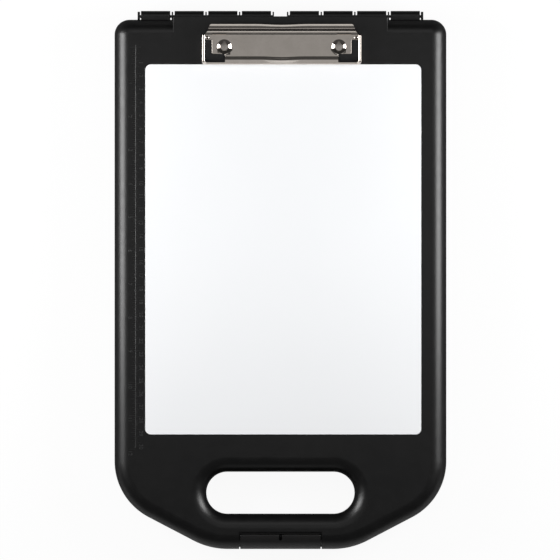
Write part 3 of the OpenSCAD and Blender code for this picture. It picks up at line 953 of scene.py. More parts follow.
@dataclass
class Tray:
    """The lower shell with its bays, its locating lip, the fins of the hinge and the pins."""

    form: CaseForm
    finishes: Finishes
    lip_h: float = 2.0
    lip_t: float = 1.2
    lip_root: float = 3.0
    lip_lead: float = 0.35
    divider_t: float = 1.8
    divider_h: float = 17.0
    pen_bay_w: float = 22.0
    latch_depth: float = 2.7
    latch_axis_in: float = 2.4
    latch_trough_r: float = 2.8
    latch_pin_hold: float = 4.0
    latch_pin_r: float = 1.1
    fin_neck: float = 0.4
    fin_ease: float = 0.12

    def cavity(self) -> Piece:
        """The hollow of the tray, with the walls and ribs that stand in it left out of it.

        Returns:
            The hollow as a solid.
        """
        f = self.form
        levels = f.round_down(f.wall, f.foot_r, f.foot_r - f.wall, 8) + [(f.outline(f.wall), f.tray_h + 1)]
        rail_z = f.hinge_z - f.knuckle_r - f.hinge_clear - f.wall
        rail_half, reach = f.hinge_end_x + f.wall, f.latch_half + f.wall
        seat_y = f.front_y + self.latch_depth + f.wall
        divider_y = f.slot_y + f.slot_w / 2 + f.slot_wall + self.pen_bay_w
        pin_reach, trough = reach + self.latch_pin_hold, self.latch_trough_r + f.wall
        pin_high = (pin_reach, f.front_y + self.latch_axis_in + trough, f.latch_pin_z + trough)
        divider_high = (f.width / 2, divider_y + self.divider_t, f.wall + self.divider_h)
        return shape(
            loft("hollow", levels),
            Shaping.CUT,
            loft("slot_wall", [(f.slot(f.slot_wall), -1), (f.slot(f.slot_wall), f.tray_h + 2)]),
            block("rail", (-rail_half, f.rail_y(), rail_z), (rail_half, f.back_y + 1, f.tray_h)),
            block("seat", (-reach, f.front_y, -1), (reach, seat_y, f.tray_h)),
            block("pin_block", (-pin_reach, f.front_y, -1), pin_high),
            block("divider", (-f.width / 2, divider_y, -1), divider_high),
        )

    def lip(self) -> Piece:
        """The locating lip that stands inside the wall of the lid.

        Returns:
            The lip.
        """
        f = self.form
        inside, lead, root = f.wall + f.seam, self.lip_lead, f.outline(f.wall / 2)
        levels = [
            (root, f.tray_h - self.lip_root), (root, f.tray_h - 0.01), (f.outline(inside), f.tray_h),
            (f.outline(inside), f.tray_h + self.lip_h - lead), (f.outline(inside + lead), f.tray_h + self.lip_h),
        ]
        within, low, high = f.outline(inside + self.lip_t), f.tray_h - 9, f.tray_h + 9
        front = f.latch_half + 2 * f.wall
        return shape(
            loft("lip", levels),
            Shaping.CUT,
            loft("lip_inside", [(within, low), (within, high)]),
            block("lip_back", (-f.width / 2, f.back_y - f.back_corner_r - f.wall, low), (f.width / 2, f.back_y, high)),
            block("lip_front", (-front, f.front_y - 1, low), (front, f.front_y + f.shoulder_r, high)),
        )

    def fin(self, x: float, t: float) -> list[Piece]:
        """One fin of the hinge.

        Args:
            x: Its middle.
            t: Its thickness.

        Returns:
            Its stalk and its round end.
        """
        f = self.form
        root_y, neck_y = f.back_y - f.wall, f.hinge_y - self.fin_neck
        root_z = f.tray_h - f.knuckle_r - f.hinge_back - f.wall
        stalk = [
            (root_y, f.tray_h - f.seam), (root_y, root_z), (f.back_y, root_z),
            (neck_y, f.tray_h - f.knuckle_r), (neck_y, f.tray_h - f.seam),
        ]
        return [
            prism("fin_stalk", stalk, x - t / 2, x + t / 2),
            rod("fin_end", x - t / 2, x + t / 2, f.hinge_y, f.hinge_z, f.fin_r, self.fin_ease),
        ]

    def slot_cutter(self) -> Piece:
        """The hand slot with its rounded rim at the underside.

        Returns:
            The solid that cuts it.
        """
        f = self.form
        rim, ease = f.slot_rim_r, f.edge_r
        flare = [(f.slot(rim * (1 - math.cos(a))), rim - rim * math.sin(a)) for a in quarter(10)]
        levels = [(flare[-1][0], -1.0)] + flare[::-1]
        levels += [(f.slot(0), f.tray_h - ease), (f.slot(ease), f.tray_h), (f.slot(ease), f.tray_h + 3)]
        return loft("slot", levels)

    def build(self) -> None:
        """Builds and dresses the tray and its pins."""
        f = self.form
        top = [(f.outline(inset), f.tray_h - drop) for inset, drop in ((0, f.edge_r), (0.3 * f.edge_r, 0.3 * f.edge_r))]
        tray = loft("tray_moulding", f.round_down(0, f.foot_r, f.foot_r, 12) + top + [(f.outline(f.edge_r), f.tray_h)])
        trough = rod("trough", -f.hinge_end_x, f.hinge_end_x, f.hinge_y, f.hinge_z, f.knuckle_r + f.hinge_clear)
        shape(tray, Shaping.CUT, self.cavity(), trough)
        fins = [
            part
            for side in (-1, 1)
            for i, x in enumerate(f.fin_xs)
            for part in self.fin(side * x, f.end_fin_t if i == f.knuckles_side else f.fin_t)
        ]
        shape(tray, Shaping.JOIN, self.lip(), *fins)
        half, axis_y, hold = f.latch_half, f.front_y + self.latch_axis_in, f.latch_half + self.latch_pin_hold
        cutters = [
            self.slot_cutter(),
            block("latch_recess", (-half, f.front_y - 1, -1), (half, f.front_y + self.latch_depth, f.tray_h + 1)),
            rod("latch_trough", -half, half, axis_y, f.latch_pin_z, self.latch_trough_r),
            rod("latch_pin_hole", -hold, hold, axis_y, f.latch_pin_z, self.latch_pin_r),
        ]
        for side in (-1, 1):
            x0, x1 = sorted((0.0, side * (f.hinge_end_x + 1)))
            cutters.append(rod("hinge_bore", x0, x1, f.hinge_y, f.hinge_z, f.hinge_pin_r))
        shape(tray, Shaping.CUT, *cutters)
        even_shading(tray)
        dress(tray, self.finishes.shell, Body.TRAY, "shell_plastic", "base_tray")
        for node in ("hinge_pin_left", "hinge_pin_right", "latch_pin"):
            dress_node(node, self.finishes.dark_pin)


# ---- Lid ----


@dataclass
class Lid:
    """The upper shell with its knuckles, its land for the clip and its recesses."""

    form: CaseForm
    finishes: Finishes
    latch_reach: float = 8.7
    latch_back_y: float = -190.85
    groove_in: float = 0.2
    groove_r: float = 1.2
    panel_gap: float = 0.5
    panel_depth: float = 1.2
    land_ease: float = 0.55
    rivet_xs: Knot = (-42.55, 44.35)
    rivet_y: float = 176.65
    rivet_hole_r: float = 2.05

    def latch_profile(self, r: float, back_y: float) -> Ring:
        """The latch recess seen from the side.

        Args:
            r: Radius of the rounded edge that it reaches down to.
            back_y: Where it ends at the back.

        Returns:
            The profile in Y and Z.
        """
        f = self.form
        shoulder_y = f.front_y + f.shoulder_r
        return (
            [(f.front_y - 1, f.tray_h - 1), (shoulder_y - r, f.tray_h - 1)]
            + arc(shoulder_y, f.shoulder_z, r, 180, 90, 24)
            + [(back_y, f.shoulder_z + r), (back_y, f.top_z + 1), (f.front_y - 1, f.top_z + 1)]
        )

    def cavity(self) -> Piece:
        """The hollow of the lid, with the walls and ribs that stand in it left out of it.

        Returns:
            The hollow as a solid.
        """
        f = self.form
        rail_top, rail_half = f.hinge_z + f.knuckle_r + f.wall, f.hinge_end_x + f.wall
        half, reach = f.land_half - f.wall, f.latch_half + f.wall
        inner = f.round_up(f.wall, f.shoulder_z, f.shoulder_r - f.wall, 10)
        hollow = loft("hollow", [(f.outline(f.wall), f.lid_z - 1)] + inner)
        low, high = (-half, f.back_y - f.shoulder_r - f.wall, rail_top), (half, f.hinge_y - f.wall, f.top_z - f.wall)
        shape(hollow, Shaping.JOIN, block("land_hollow", low, high))
        backing = self.latch_profile(self.latch_reach - f.wall, self.latch_back_y + f.wall)
        return shape(
            hollow,
            Shaping.CUT,
            loft("slot_wall", [(f.slot(f.grip_wall), f.tray_h - 2), (f.slot(f.grip_wall), f.top_z + 1)]),
            block("rail", (-rail_half, f.rail_y(), f.tray_h - 2), (rail_half, f.back_y + 1, rail_top)),
            prism("latch_backing", backing, -reach, reach),
        )

    def land(self) -> Piece:
        """The flat land that carries the clip out over the knuckles, with eased edges.

        Returns:
            The land.
        """
        f = self.form
        ease, low = self.land_ease, f.back_y - f.shoulder_r - f.wall
        steps = [(0, f.lid_z)] + round_over(ease, f.top_z - ease, 5)
        return loft("land", [
            (rounded_rectangle(inset - f.land_half, f.land_half - inset, low + inset, f.hinge_y - inset, 1.0, 5), z)
            for inset, z in steps
        ])

    def knuckles(self) -> list[Piece]:
        """The knuckles with the webs that join them to the lid.

        Returns:
            The knuckles and webs.
        """
        f = self.form
        parts = []
        for x in [side * x for side in (-1, 1) for x in f.knuckle_xs]:
            x0, x1 = x - f.knuckle_l / 2, x + f.knuckle_l / 2
            parts.append(rod("knuckle", x0, x1, f.hinge_y, f.hinge_z, f.knuckle_r, f.edge_r))
            low, high = (x0 + 0.05, f.back_y - f.wall, f.lid_z), (x1 - 0.05, f.hinge_y, f.hinge_z + f.knuckle_r - 0.02)
            parts.append(block("web", low, high))
        return parts

    def slot_cutter(self) -> Piece:
        """The hand slot with its wide rounded rim at the top.

        Returns:
            The solid that cuts it.
        """
        f = self.form
        rim, ease = f.grip_rim_r, f.edge_r
        levels = [(f.slot(ease), f.tray_h - 2), (f.slot(ease), f.lid_z), (f.slot(0), f.lid_z + ease)]
        levels += [(f.slot(run), z) for run, z in round_over(rim, f.top_z - rim, 24)]
        return loft("slot", levels + [(f.slot(rim), f.top_z + 1)])

    def panel_cutter(self) -> Piece:
        """The recess of the writing panel with an eased upper edge.

        Returns:
            The solid that cuts it.
        """
        f = self.form
        x0, x1, y0, y1 = f.panel_box
        levels = []
        for grow, z in ((0, -self.panel_depth), (0, -0.2), (0.06, -0.06), (0.2, 0), (0.2, 1)):
            g = self.panel_gap + grow
            levels.append((rounded_rectangle(x0 - g, x1 + g, y0 - g, y1 + g, f.panel_corner_r + g, 12), f.top_z + z))
        return loft("panel_recess", levels)

    def bores(self) -> list[Piece]:
        """The groove for the latch, the bore for the hinge pins and the holes for the rivets.

        Returns:
            The solids that cut them.
        """
        f = self.form
        turn, bead_at = math.radians(f.latch_bead_turn), self.latch_reach + self.groove_in
        y, z = f.front_y + f.shoulder_r - bead_at * math.sin(turn), f.shoulder_z + bead_at * math.cos(turn)
        hole = [(self.rivet_hole_r, f.top_z - 5), (self.rivet_hole_r, f.top_z + 1)]
        return [
            rod("groove", -f.latch_half, f.latch_half, y, z, self.groove_r),
            rod("bore", -f.hinge_end_x, f.hinge_end_x, f.hinge_y, f.hinge_z, f.hinge_pin_r + f.pin_clear),
            *(post("rivet_hole", x, self.rivet_y, hole, 32) for x in self.rivet_xs),
        ]

    def build(self) -> None:
        """Builds and dresses the lid."""
        f = self.form
        rounding = ((f.edge_r, 0), (0.3 * f.edge_r, 0.3 * f.edge_r), (0, f.edge_r))
        low = [(f.outline(inset), f.lid_z + rise) for inset, rise in rounding]
        lid = loft("lid_moulding", low + f.round_up(0, f.shoulder_z, f.shoulder_r, 20))
        shape(lid, Shaping.JOIN, self.land())
        gap = (f.knuckle_pitch - f.knuckle_l) / 2
        rooms = [
            rod("fin_room", side * x - gap, side * x + gap, f.hinge_y, f.hinge_z, f.knuckle_r)
            for side in (-1, 1)
            for x in f.fin_xs
        ]
        near, far = (-f.first_fin_x, f.back_y, f.lid_z - 1), (f.first_fin_x, f.hinge_y + 1, f.hinge_z + f.knuckle_r)
        shape(lid, Shaping.CUT, self.cavity(), block("middle", near, far), *rooms)
        shape(lid, Shaping.JOIN, *self.knuckles())
        profile = self.latch_profile(self.latch_reach, self.latch_back_y)
        recess = prism("latch_recess", profile, -f.latch_half, f.latch_half)
        shape(lid, Shaping.CUT, self.slot_cutter(), recess, self.panel_cutter(), *self.bores())
        even_shading(lid)
        dress(lid, self.finishes.shell, Body.LID, "shell_plastic", "lid_shell")


@dataclass
class Ruler:
    """Raised rule on the left margin: a long line, inches on its left and centimetres on its right."""

    form: CaseForm
    finishes: Finishes
    line_x: float = -109.87
    line_back_y: float = 178.1
    line_front_y: float = -127.4
    zero_y: float = 176.5
    inch: float = 25.4
    inches: int = 12
    centimetres: int = 30
    ridge_w: float = 0.5
    tick_w: float = 0.28
    inch_ticks: tuple[Knot, ...] = ((16, 4.3), (8, 3.1), (4, 2.4), (2, 1.7), (1, 1.1))
    centimetre_ticks: tuple[Knot, ...] = ((10, 3.9), (5, 2.5), (1, 1.3))
    inch_x: float = 5.3
    centimetre_x: float = 2.9
    height: float = 0.14
    sunk: float = 0.05
    slope: float = 0.3
    digit_h: float = 2.9
    text_size: float = 1.4
    digit_lift: float = 0.03
    digit_shift: float = 0.9
    digit_rise: float = 0.06
    digit_bevel: float = 0.05

    def ridge(self, points: list[Point], faces: list[list[int]], low: Knot, high: Knot) -> None:
        """Adds one raised bar with sloping sides.

        Args:
            points: Corners, to which the bar's own are added.
            faces: Faces, to which the bar's own are added.
            low: Lowest corner seen from above.
            high: Highest corner seen from above.
        """
        z0, z1 = self.form.top_z - self.sunk, self.form.top_z + self.height
        slope = min(high[0] - low[0], high[1] - low[1]) * self.slope
        n = len(points)
        for inset, z in ((0.0, z0), (0.0, z0 + self.sunk), (slope, z1)):
            points += [
                (low[0] + inset, low[1] + inset, z), (high[0] - inset, low[1] + inset, z),
                (high[0] - inset, high[1] - inset, z), (low[0] + inset, high[1] - inset, z),
            ]
        for k in (0, 4):
            faces += [[n + k + i, n + k + (i + 1) % 4, n + k + 4 + (i + 1) % 4, n + k + 4 + i] for i in range(4)]
        faces += [[n + 3, n + 2, n + 1, n], [n + 8, n + 9, n + 10, n + 11]]

    def ticks(self) -> list[Point]:
        """Every tick of both scales.

        Returns:
            Its place along the case and its two ends across it.
        """
        inner, marks = self.ridge_w / 2, []
        for i in range(self.inches * 16 + 1):
            length = next(long for every, long in self.inch_ticks if i % every == 0)
            marks.append((self.zero_y - i * self.inch / 16, self.line_x - inner - length, self.line_x - inner))
        for i in range(self.centimetres * 10 + 1):
            length = next(long for every, long in self.centimetre_ticks if i % every == 0)
            marks.append((self.zero_y - i, self.line_x + inner, self.line_x + inner + length))
        return marks

    def digits(self) -> list[Piece]:
        """The numbers beside the long ticks, turned to be read along the rule.

        Returns:
            One text for each number.
        """
        inch_x, centimetre_x = self.line_x - self.inch_x, self.line_x + self.centimetre_x
        rows = [(str(i), inch_x, self.zero_y - i * self.inch) for i in range(1, self.inches + 1)]
        rows += [(str(i), centimetre_x, self.zero_y - 10 * i) for i in range(1, self.centimetres + 1)]
        made = []
        for text, x, y in rows:
            curve = bpy.data.curves.new("digits", "FONT")
            curve.body, curve.size = text, self.digit_h * self.text_size * MM
            curve.extrude, curve.bevel_depth = self.digit_rise * MM, self.digit_bevel * MM
            curve.bevel_resolution, curve.resolution_u = 1, 4
            piece = bpy.data.objects.new("digits", curve)
            bpy.context.scene.collection.objects.link(piece)
            piece.location = (x * MM, (y - self.digit_shift) * MM, (self.form.top_z + self.digit_lift) * MM)
            piece.rotation_euler = (0, 0, math.radians(-90))
            made.append(piece)
        return made

    def build(self) -> None:
        """Builds and dresses the line with its ticks, and the numbers."""
        points, faces = [], []
        half = self.ridge_w / 2
        self.ridge(points, faces, (self.line_x - half, self.line_front_y), (self.line_x + half, self.line_back_y))
        for y, x0, x1 in self.ticks():
            self.ridge(points, faces, (x0, y - self.tick_w / 2), (x1, y + self.tick_w / 2))
        # The marks and numbers take the lighter, glossier copy of the shell plastic, a painted highlight.
        for piece in (solid("ruler_ticks", points, faces), join_as_mesh("ruler_numbers", self.digits())):
            dress(piece, self.finishes.marks, Body.LID, "shell_plastic")


@dataclass
class WritingPanel:
    """The white panel in its recess, with the tape under it."""

    form: CaseForm
    finishes: Finishes
    thickness: float = 1.0
    ease: float = 0.2

    def build(self) -> None:
        """Builds and dresses the panel and its tape."""
        f, e = self.form, self.ease
        x0, x1, y0, y1 = f.panel_box
        steps = [(e * (1 - math.sin(a)), f.top_z - self.thickness + e * (1 - math.cos(a))) for a in quarter(4)]
        steps += round_over(e, f.top_z - e, 4)
        levels = [
            (rounded_rectangle(x0 + inset, x1 - inset, y0 + inset, y1 - inset, f.panel_corner_r - inset, 14), z)
            for inset, z in steps
        ]
        panel = even_shading(loft("panel_sheet", levels))
        dress(panel, self.finishes.panel, Body.LID, "panel_white", "writing_panel")
        dress_node("panel_tape", self.finishes.tape)


# ---- Latch ----


@dataclass
class Latch:
    """The swing-over latch with its barrel, its catch bead and the notch in its lip."""

    form: CaseForm
    finishes: Finishes
    width: float = 61.0
    thickness: float = 2.3
    barrel_r: float = 2.4
    pin_r: float = 1.15
    lip_ahead: float = 0.5
    bead_r: float = 0.8
    edge_r: float = 0.45
    barrel_ease: float = 0.4
    bead_ease: float = 0.3
    notch_w: float = 2.3
    notch_l: float = 4.3

    def build(self) -> None:
        """Builds and dresses the latch."""
        f = self.form
        sy, sz = f.front_y + f.shoulder_r, f.shoulder_z
        turn = math.degrees(math.asin(self.lip_ahead / f.shoulder_r))
        inner = f.shoulder_r - self.thickness
        half, axis_y, pin_z = self.width / 2, f.front_y + self.barrel_r, f.latch_pin_z
        profile = (
            arc(sy, sz, f.shoulder_r, 90 + turn, 180, 28)
            + [(f.front_y, pin_z), (f.front_y + self.thickness, pin_z)]
            + arc(sy, sz, inner, 180, 90 + turn, 24)
        )
        latch = ease_edges(prism("latch_flap", profile, -half, half), self.edge_r, 4)
        bead = math.radians(f.latch_bead_turn)
        bead_y, bead_z = sy - inner * math.sin(bead), sz + inner * math.cos(bead)
        shape(
            latch,
            Shaping.JOIN,
            rod("barrel", -half, half, axis_y, pin_z, self.barrel_r, self.barrel_ease),
            rod("bead", -half + 1, half - 1, bead_y, bead_z, self.bead_r, self.bead_ease),
        )
        end_y = sy - self.lip_ahead - self.notch_l + self.notch_w / 2
        r = self.notch_w / 2
        slot = [(-r, end_y), *arc(0, end_y, r, 180, 360, 20)[1:-1], (r, end_y), (r, sy + 2), (-r, sy + 2)]
        bore = rod("pin_bore", -half - 1, half + 1, axis_y, pin_z, self.pin_r)
        shape(latch, Shaping.CUT, loft("notch", [(slot, sz), (slot, f.top_z + 2)]), bore)
        even_shading(latch)
        dress(latch, self.finishes.latch, Body.LATCH, "latch_plastic", "latch")


# ---- Clip ----


@dataclass
class Clip:
    """The low clip: jaw sheet, rubber corner grips, base plate, rivets, pivot pin and springs.

    Depths run back from the front lip and heights up from the lid. front_slopes gives the slope of the
    sheet at depths from the lip, rear_slopes at depths from the thumb edge. flank is the turn from the top
    into the side flange, as steps out from it and down. lever_knots narrow the sheet to the thumb lever, as
    depths from the thumb edge and steps in from the side. funnel is the drawn edge of the access holes, as
    shares of their radius and depths.
    """

    form: CaseForm
    finishes: Finishes
    middle_x: float = 0.9
    front_y: float = 163.15
    width: float = 120.7
    depth: float = 30.8
    sheet: float = 0.9
    height: float = 7.6
    gap: float = 0.3
    corner_r: float = 2.3
    line_step: float = 0.14
    front_slopes: tuple[Knot, ...] = (
        (0.0, 9.4), (0.3, 9.4), (0.42, 1.05), (1.2, 0.95), (2.4, 0.9), (3.3, 0.95), (3.75, 0.75), (4.1, 0.42),
        (4.6, 0.34), (5.0, 0.19), (5.3, 0.2), (5.7, 0.36), (6.1, 0.25), (6.6, 0.06), (7.2, 0.0),
    )
    rear_slopes: tuple[Knot, ...] = (
        (-9.0, 0.0), (-8.4, 0.16), (-7.6, 0.2), (-6.9, 0.19), (-6.35, -0.05), (-6.0, -0.25), (-5.5, -0.36),
        (-5.0, -0.42), (-4.6, -0.5), (-4.4, -0.85), (-3.85, -0.9), (-3.5, -0.1), (-3.1, 0.1), (-2.7, 0.34),
        (-1.9, 0.34), (-1.55, 0.0), (-1.2, -0.19), (-0.3, -0.2), (0.0, -0.45),
    )
    flank: tuple[Knot, ...] = (
        (-2.45, 0.0), (-1.95, 0.0), (-1.85, 0.01), (-1.75, 0.06), (-1.66, 0.13), (-1.6, 0.165), (-1.5, 0.195),
        (-1.1, 0.28), (-0.6, 0.39), (-0.4, 0.44), (-0.3, 0.5), (-0.2, 0.6), (-0.1, 0.76), (-0.04, 0.95), (0.0, 1.2),
    )
    lever_knots: tuple[Knot, ...] = (
        (8.4, 2.45), (7.9, 2.2), (7.2, 2.6), (6.4, 3.4), (5.4, 4.15), (4.0, 4.65), (2.4, 5.1), (1.1, 5.75),
        (0.4, 6.4), (0.0, 7.1),
    )
    funnel: tuple[Knot, ...] = (
        (0.53, 2.0), (0.53, 1.75), (0.545, 1.55), (0.57, 1.4), (0.64, 1.13), (0.82, 0.5), (0.92, 0.17),
        (0.96, 0.07), (1.0, 0.0),
    )
    scoop_depth: float = 0.8
    scoop_d: float = 4.6
    scoop_run: float = 2.0
    scoop_half: float = 17.5
    wave_depth: float = 0.62
    wave_d: float = 3.4
    wave_run: float = 2.4
    wave_half: float = 21.0
    lip_run: float = 3.0
    lever_d: float = 7.0
    flange_run: float = 4.0
    flange_lift: float = 0.6
    flange_front: float = 0.4
    fine_step: float = 0.25
    fine_steps: int = 20
    wide_steps: int = 26
    ear_fade: Knot = (3.4, 1.6)
    pip_in: float = 56.4
    pip_d: float = 20.4
    pip_r: float = 0.6
    pip_edge: float = 1.2
    lip_thin: float = 0.35
    lip_wide: float = 0.55
    lip_drop: float = 0.75
    louvre_in: float = 41.8
    louvre_l: float = 10.7
    louvre_d: float = 23.65
    louvre_w: float = 2.1
    louvre_foot: float = 0.5
    louvre_head: float = 0.36
    pivot_d: float = 19.0
    pivot_h: float = 4.2
    pivot_r: float = 1.2
    ear_r: float = 3.3
    window_front: float = 1.8
    window_side: float = 2.0
    window_r: float = 0.7
    window_nose_r: float = 2.0
    inner_rim_r: float = 0.2
    outer_rim_r: float = 0.3
    grip_leg_w: float = 5.5
    grip_long: float = 16.9
    grip_front: float = 15.5
    grip_front_d: float = 6.3
    grip_sunk: float = 0.35
    grip_slope: tuple[Knot, Knot] = ((6.5, 0.0), (3.2, 1.9))
    grip_room: float = 0.03
    grip_ease: float = 0.22
    pin_room: float = 0.3
    rivet_in: float = 16.9
    rivet_d: float = 13.5
    rivet_head_r: float = 4.9
    rivet_head_h: float = 1.3
    rivet_flat: float = 3.0
    rivet_tail: tuple[Knot, ...] = ((1.9, -1.2), (2.9, -1.0), (3.1, -0.5), (2.3, 0.0), (2.0, 0.2))
    rivet_tail_low: float = 0.8
    access_r: float = 5.75
    plate_t: float = 0.9
    plate_in: float = 1.0
    plate_end: float = 5.0
    plate_ease: float = 0.12
    ear_room: float = 0.35
    spring_in: float = 17.45
    spring_leg_short: float = 0.4
    spring_leg_drop: float = 0.9
    wire_r: float = 0.55
    spring_turns: float = 5.5
    spring_steps: int = 36
    spring_room: float = 0.1
    spring_gap: float = 0.08
    spring_lift: float = 0.05
    spring_foot: float = 6.2

    def at(self, x: float, d: float, h: float) -> Point:
        """The case's own point at x beside the clip's middle, d behind its lip and h above the lid."""
        return (self.middle_x + x, self.front_y + d, self.form.top_z + h)

    def jaw_line(self) -> Ring:
        """Top of the jaw from the front lip to the thumb edge, added up from its slopes.

        Returns:
            Pairs of depth and height.
        """
        end, step = self.depth, self.line_step
        slopes = list(self.front_slopes) + [(end + back, slope) for back, slope in self.rear_slopes]
        front, rear = slopes[len(self.front_slopes) - 1][0], slopes[len(self.front_slopes)][0]
        spans = ((0.0, front, math.ceil(front / step)), (front, rear, 8), (rear, end, math.ceil((end - rear) / step)))
        depths = [low + (high - low) * i / count for low, high, count in spans for i in range(count)]
        depths.append(end)
        heights = [0.0]
        for d0, d1 in zip(depths, depths[1:]):
            heights.append(heights[-1] + (d1 - d0) * between(slopes, (d0 + d1) / 2))
        lift = self.height - heights[spans[0][2]]
        return [(d, z + lift) for d, z in zip(depths, heights)]

    def flange_low(self, d: float) -> float:
        """Lower edge of the side flange.

        Args:
            d: Depth.

        Returns:
            Its height.
        """
        run = self.flange_run
        if d < self.pivot_d - run:
            return self.gap
        if d < self.pivot_d:
            return self.gap + self.flange_lift * (d - self.pivot_d + run) / run
        return self.pivot_h - math.sqrt(max(self.ear_r**2 - (d - self.pivot_d) ** 2, 0.01))

    def edge_height(self, x: float, d: float, h: float) -> float:
        """Height of the sheet near its sides, where the flange keeps its height up to the front lip.

        Args:
            x: Distance beside the middle.
            d: Depth.
            h: Height of the sheet in the middle.

        Returns:
            The height.
        """
        if d >= self.depth / 2:
            return h
        low, run = self.gap + self.flange_front, self.lip_run
        edge = self.height if d > run else low + (self.height - low) * math.sqrt(max(1 - ((run - d) / run) ** 2, 0.0))
        share = min(max((abs(x) - self.width / 2 + self.ear_fade[0]) / self.ear_fade[1], 0.0), 1.0)
        return h + (edge - h) * (share * (share * (3 - 2 * share)))

    def sheet_row(self, d: float, h: float) -> list[Point]:
        """One line across the sheet, from the foot of one side flange to that of the other.

        Args:
            d: Depth.
            h: Height of the sheet in the middle.

        Returns:
            Points as distance beside the middle, depth and height.
        """
        c, half, end = self.corner_r, self.width / 2, self.depth
        side = half - (c - math.sqrt(max(c * c - (c - d) ** 2, 0.0)) if d < c else 0.0)
        low, shoulder = self.flange_low(d), self.edge_height(half, d, h)
        share = min(1.0, max(0.1, 0.4 * (shoulder - low)))
        lever = [(end - back, half - inside) for back, inside in self.lever_knots]
        reach = side + self.flank[0][0] * share if d <= lever[0][0] else between(lever, d)
        scoop = self.scoop_depth * math.exp(-(((d - self.scoop_d) / self.scoop_run) ** 2))
        wave = self.wave_depth * max(0.0, min(1.0, (d - end + self.wave_d) / self.wave_run))
        n, inner = self.wide_steps, reach - self.fine_step * self.fine_steps
        fine = [self.fine_step * i for i in range(self.fine_steps)]
        across = [reach - u for u in fine] + [inner * i / n for i in range(n, -n - 1, -1)]
        across += [u - reach for u in reversed(fine)]
        row = []
        for x in reversed(across):
            bow = math.cos(min(abs(x) / self.scoop_half, 1.0) * math.pi / 2) ** 2
            sway = math.cos(min(abs(x) / self.wave_half, 1.0) * math.pi / 2) ** 2
            row.append((x, d - scoop * bow - wave * sway, self.edge_height(x, d, h)))
        flank = [(side + out * share, d, shoulder - down * share) for out, down in self.flank[1:]]
        foot = shoulder - self.flank[-1][1] * share
        flank += [(side, d, foot + (min(low, foot - 0.02 * k) - foot) * k) for k in (0.2, 0.4, 0.6, 0.8, 1.0)]
        return [(-x, b, z) for x, b, z in reversed(flank)] + row + flank

    def sheet_solid(self) -> Piece:
        """The stamped sheet of the jaw with its side flanges, before the openings are cut.

        Returns:
            The closed solid.
        """
        line = self.jaw_line()
        rows = [self.sheet_row(d, h) for d, h in line]
        wide, turned, lever_d = len(rows[0]), len(self.flank) + 4, self.depth - self.lever_knots[0][0]
        faces = []
        for j in range(len(line) - 1):
            sides = turned if line[j + 1][0] > lever_d else 0
            for k in range(j * wide + sides, (j + 1) * wide - 1 - sides):
                faces.append([k, k + 1, k + wide + 1, k + wide])
        used = sorted({v for face in faces for v in face})
        number = {v: i for i, v in enumerate(used)}
        every = [self.at(*p) for row in rows for p in row]
        jaw = solid("clip_jaw_sheet", [every[v] for v in used], [[number[v] for v in face] for face in faces])
        step = jaw.modifiers.new("thickness", "SOLIDIFY")
        step.thickness, step.use_even_offset = self.sheet * MM, False
        step.offset = 1.0 if jaw.data.polygons[len(jaw.data.polygons) // 2].normal.z < 0 else -1.0
        return settle(jaw)

    def window(self, side: int, grow: float, outer: float) -> Ring:
        """The corner window seen from above.

        Args:
            side: -1 for the left, 1 for the right.
            grow: Distance by which it is grown outwards.
            outer: The same at its outer side and its back.

        Returns:
            The outline.
        """
        edge, r = self.width / 2 - self.window_side, self.window_r
        out, inner = edge + outer, edge - self.grip_leg_w - grow
        front, back = self.window_front - grow, self.window_front + self.grip_long + outer
        step_d, tail = self.window_front + self.grip_front_d + grow, edge - self.grip_front - grow
        ring = fillet([
            (out, front, self.window_nose_r), (out, back, r), (inner, back, r),
            (inner, step_d, r), (tail, step_d, r), (tail, front, r),
        ])
        return [(self.middle_x + side * x, self.front_y + y) for x, y in ring]

    def rivet_place(self, side: int) -> Knot:
        """Middle of the rivet on the given side, seen from above."""
        return self.middle_x + side * (self.width / 2 - self.rivet_in), self.front_y + self.rivet_d

    def window_cutter(self, side: int) -> Piece:
        """The corner window with its rolled rim.

        Args:
            side: -1 for the left, 1 for the right.

        Returns:
            The solid that cuts it.
        """
        high, small, wide = self.height, self.inner_rim_r, self.outer_rim_r
        rim = [(0.0, 0.0, self.gap + 0.9), (0.0, 0.0, high - wide - 0.01)]
        turns = zip(quarter(10), round_over(wide, high - wide, 10))
        rim += [(small * max(0.0, 1 - math.cos(a)), out, z) for a, (out, z) in turns] + [(small, wide, high + 2)]
        return loft("window", [(self.window(side, g, o), self.form.top_z + h) for g, o, h in rim])

    def louvre_cutter(self, side: int) -> Piece:
        """The wedge-shaped slit behind the window.

        Args:
            side: -1 for the left, 1 for the right.

        Returns:
            The solid that cuts it.
        """
        top, high = self.form.top_z, self.height
        x0, x1 = sorted(self.middle_x + side * x for x in (self.louvre_in, self.louvre_in + self.louvre_l))
        y0, y1 = (self.front_y + self.louvre_d + way * self.louvre_w / 2 for way in (-1, 1))
        wedge = [
            (y0, top + high + 1), (y0 + 0.05, top + high - self.louvre_foot),
            (y1, top + high + self.louvre_head), (y1 + 0.05, top + high + 1),
        ]
        return prism("louvre", wedge, x0, x1)

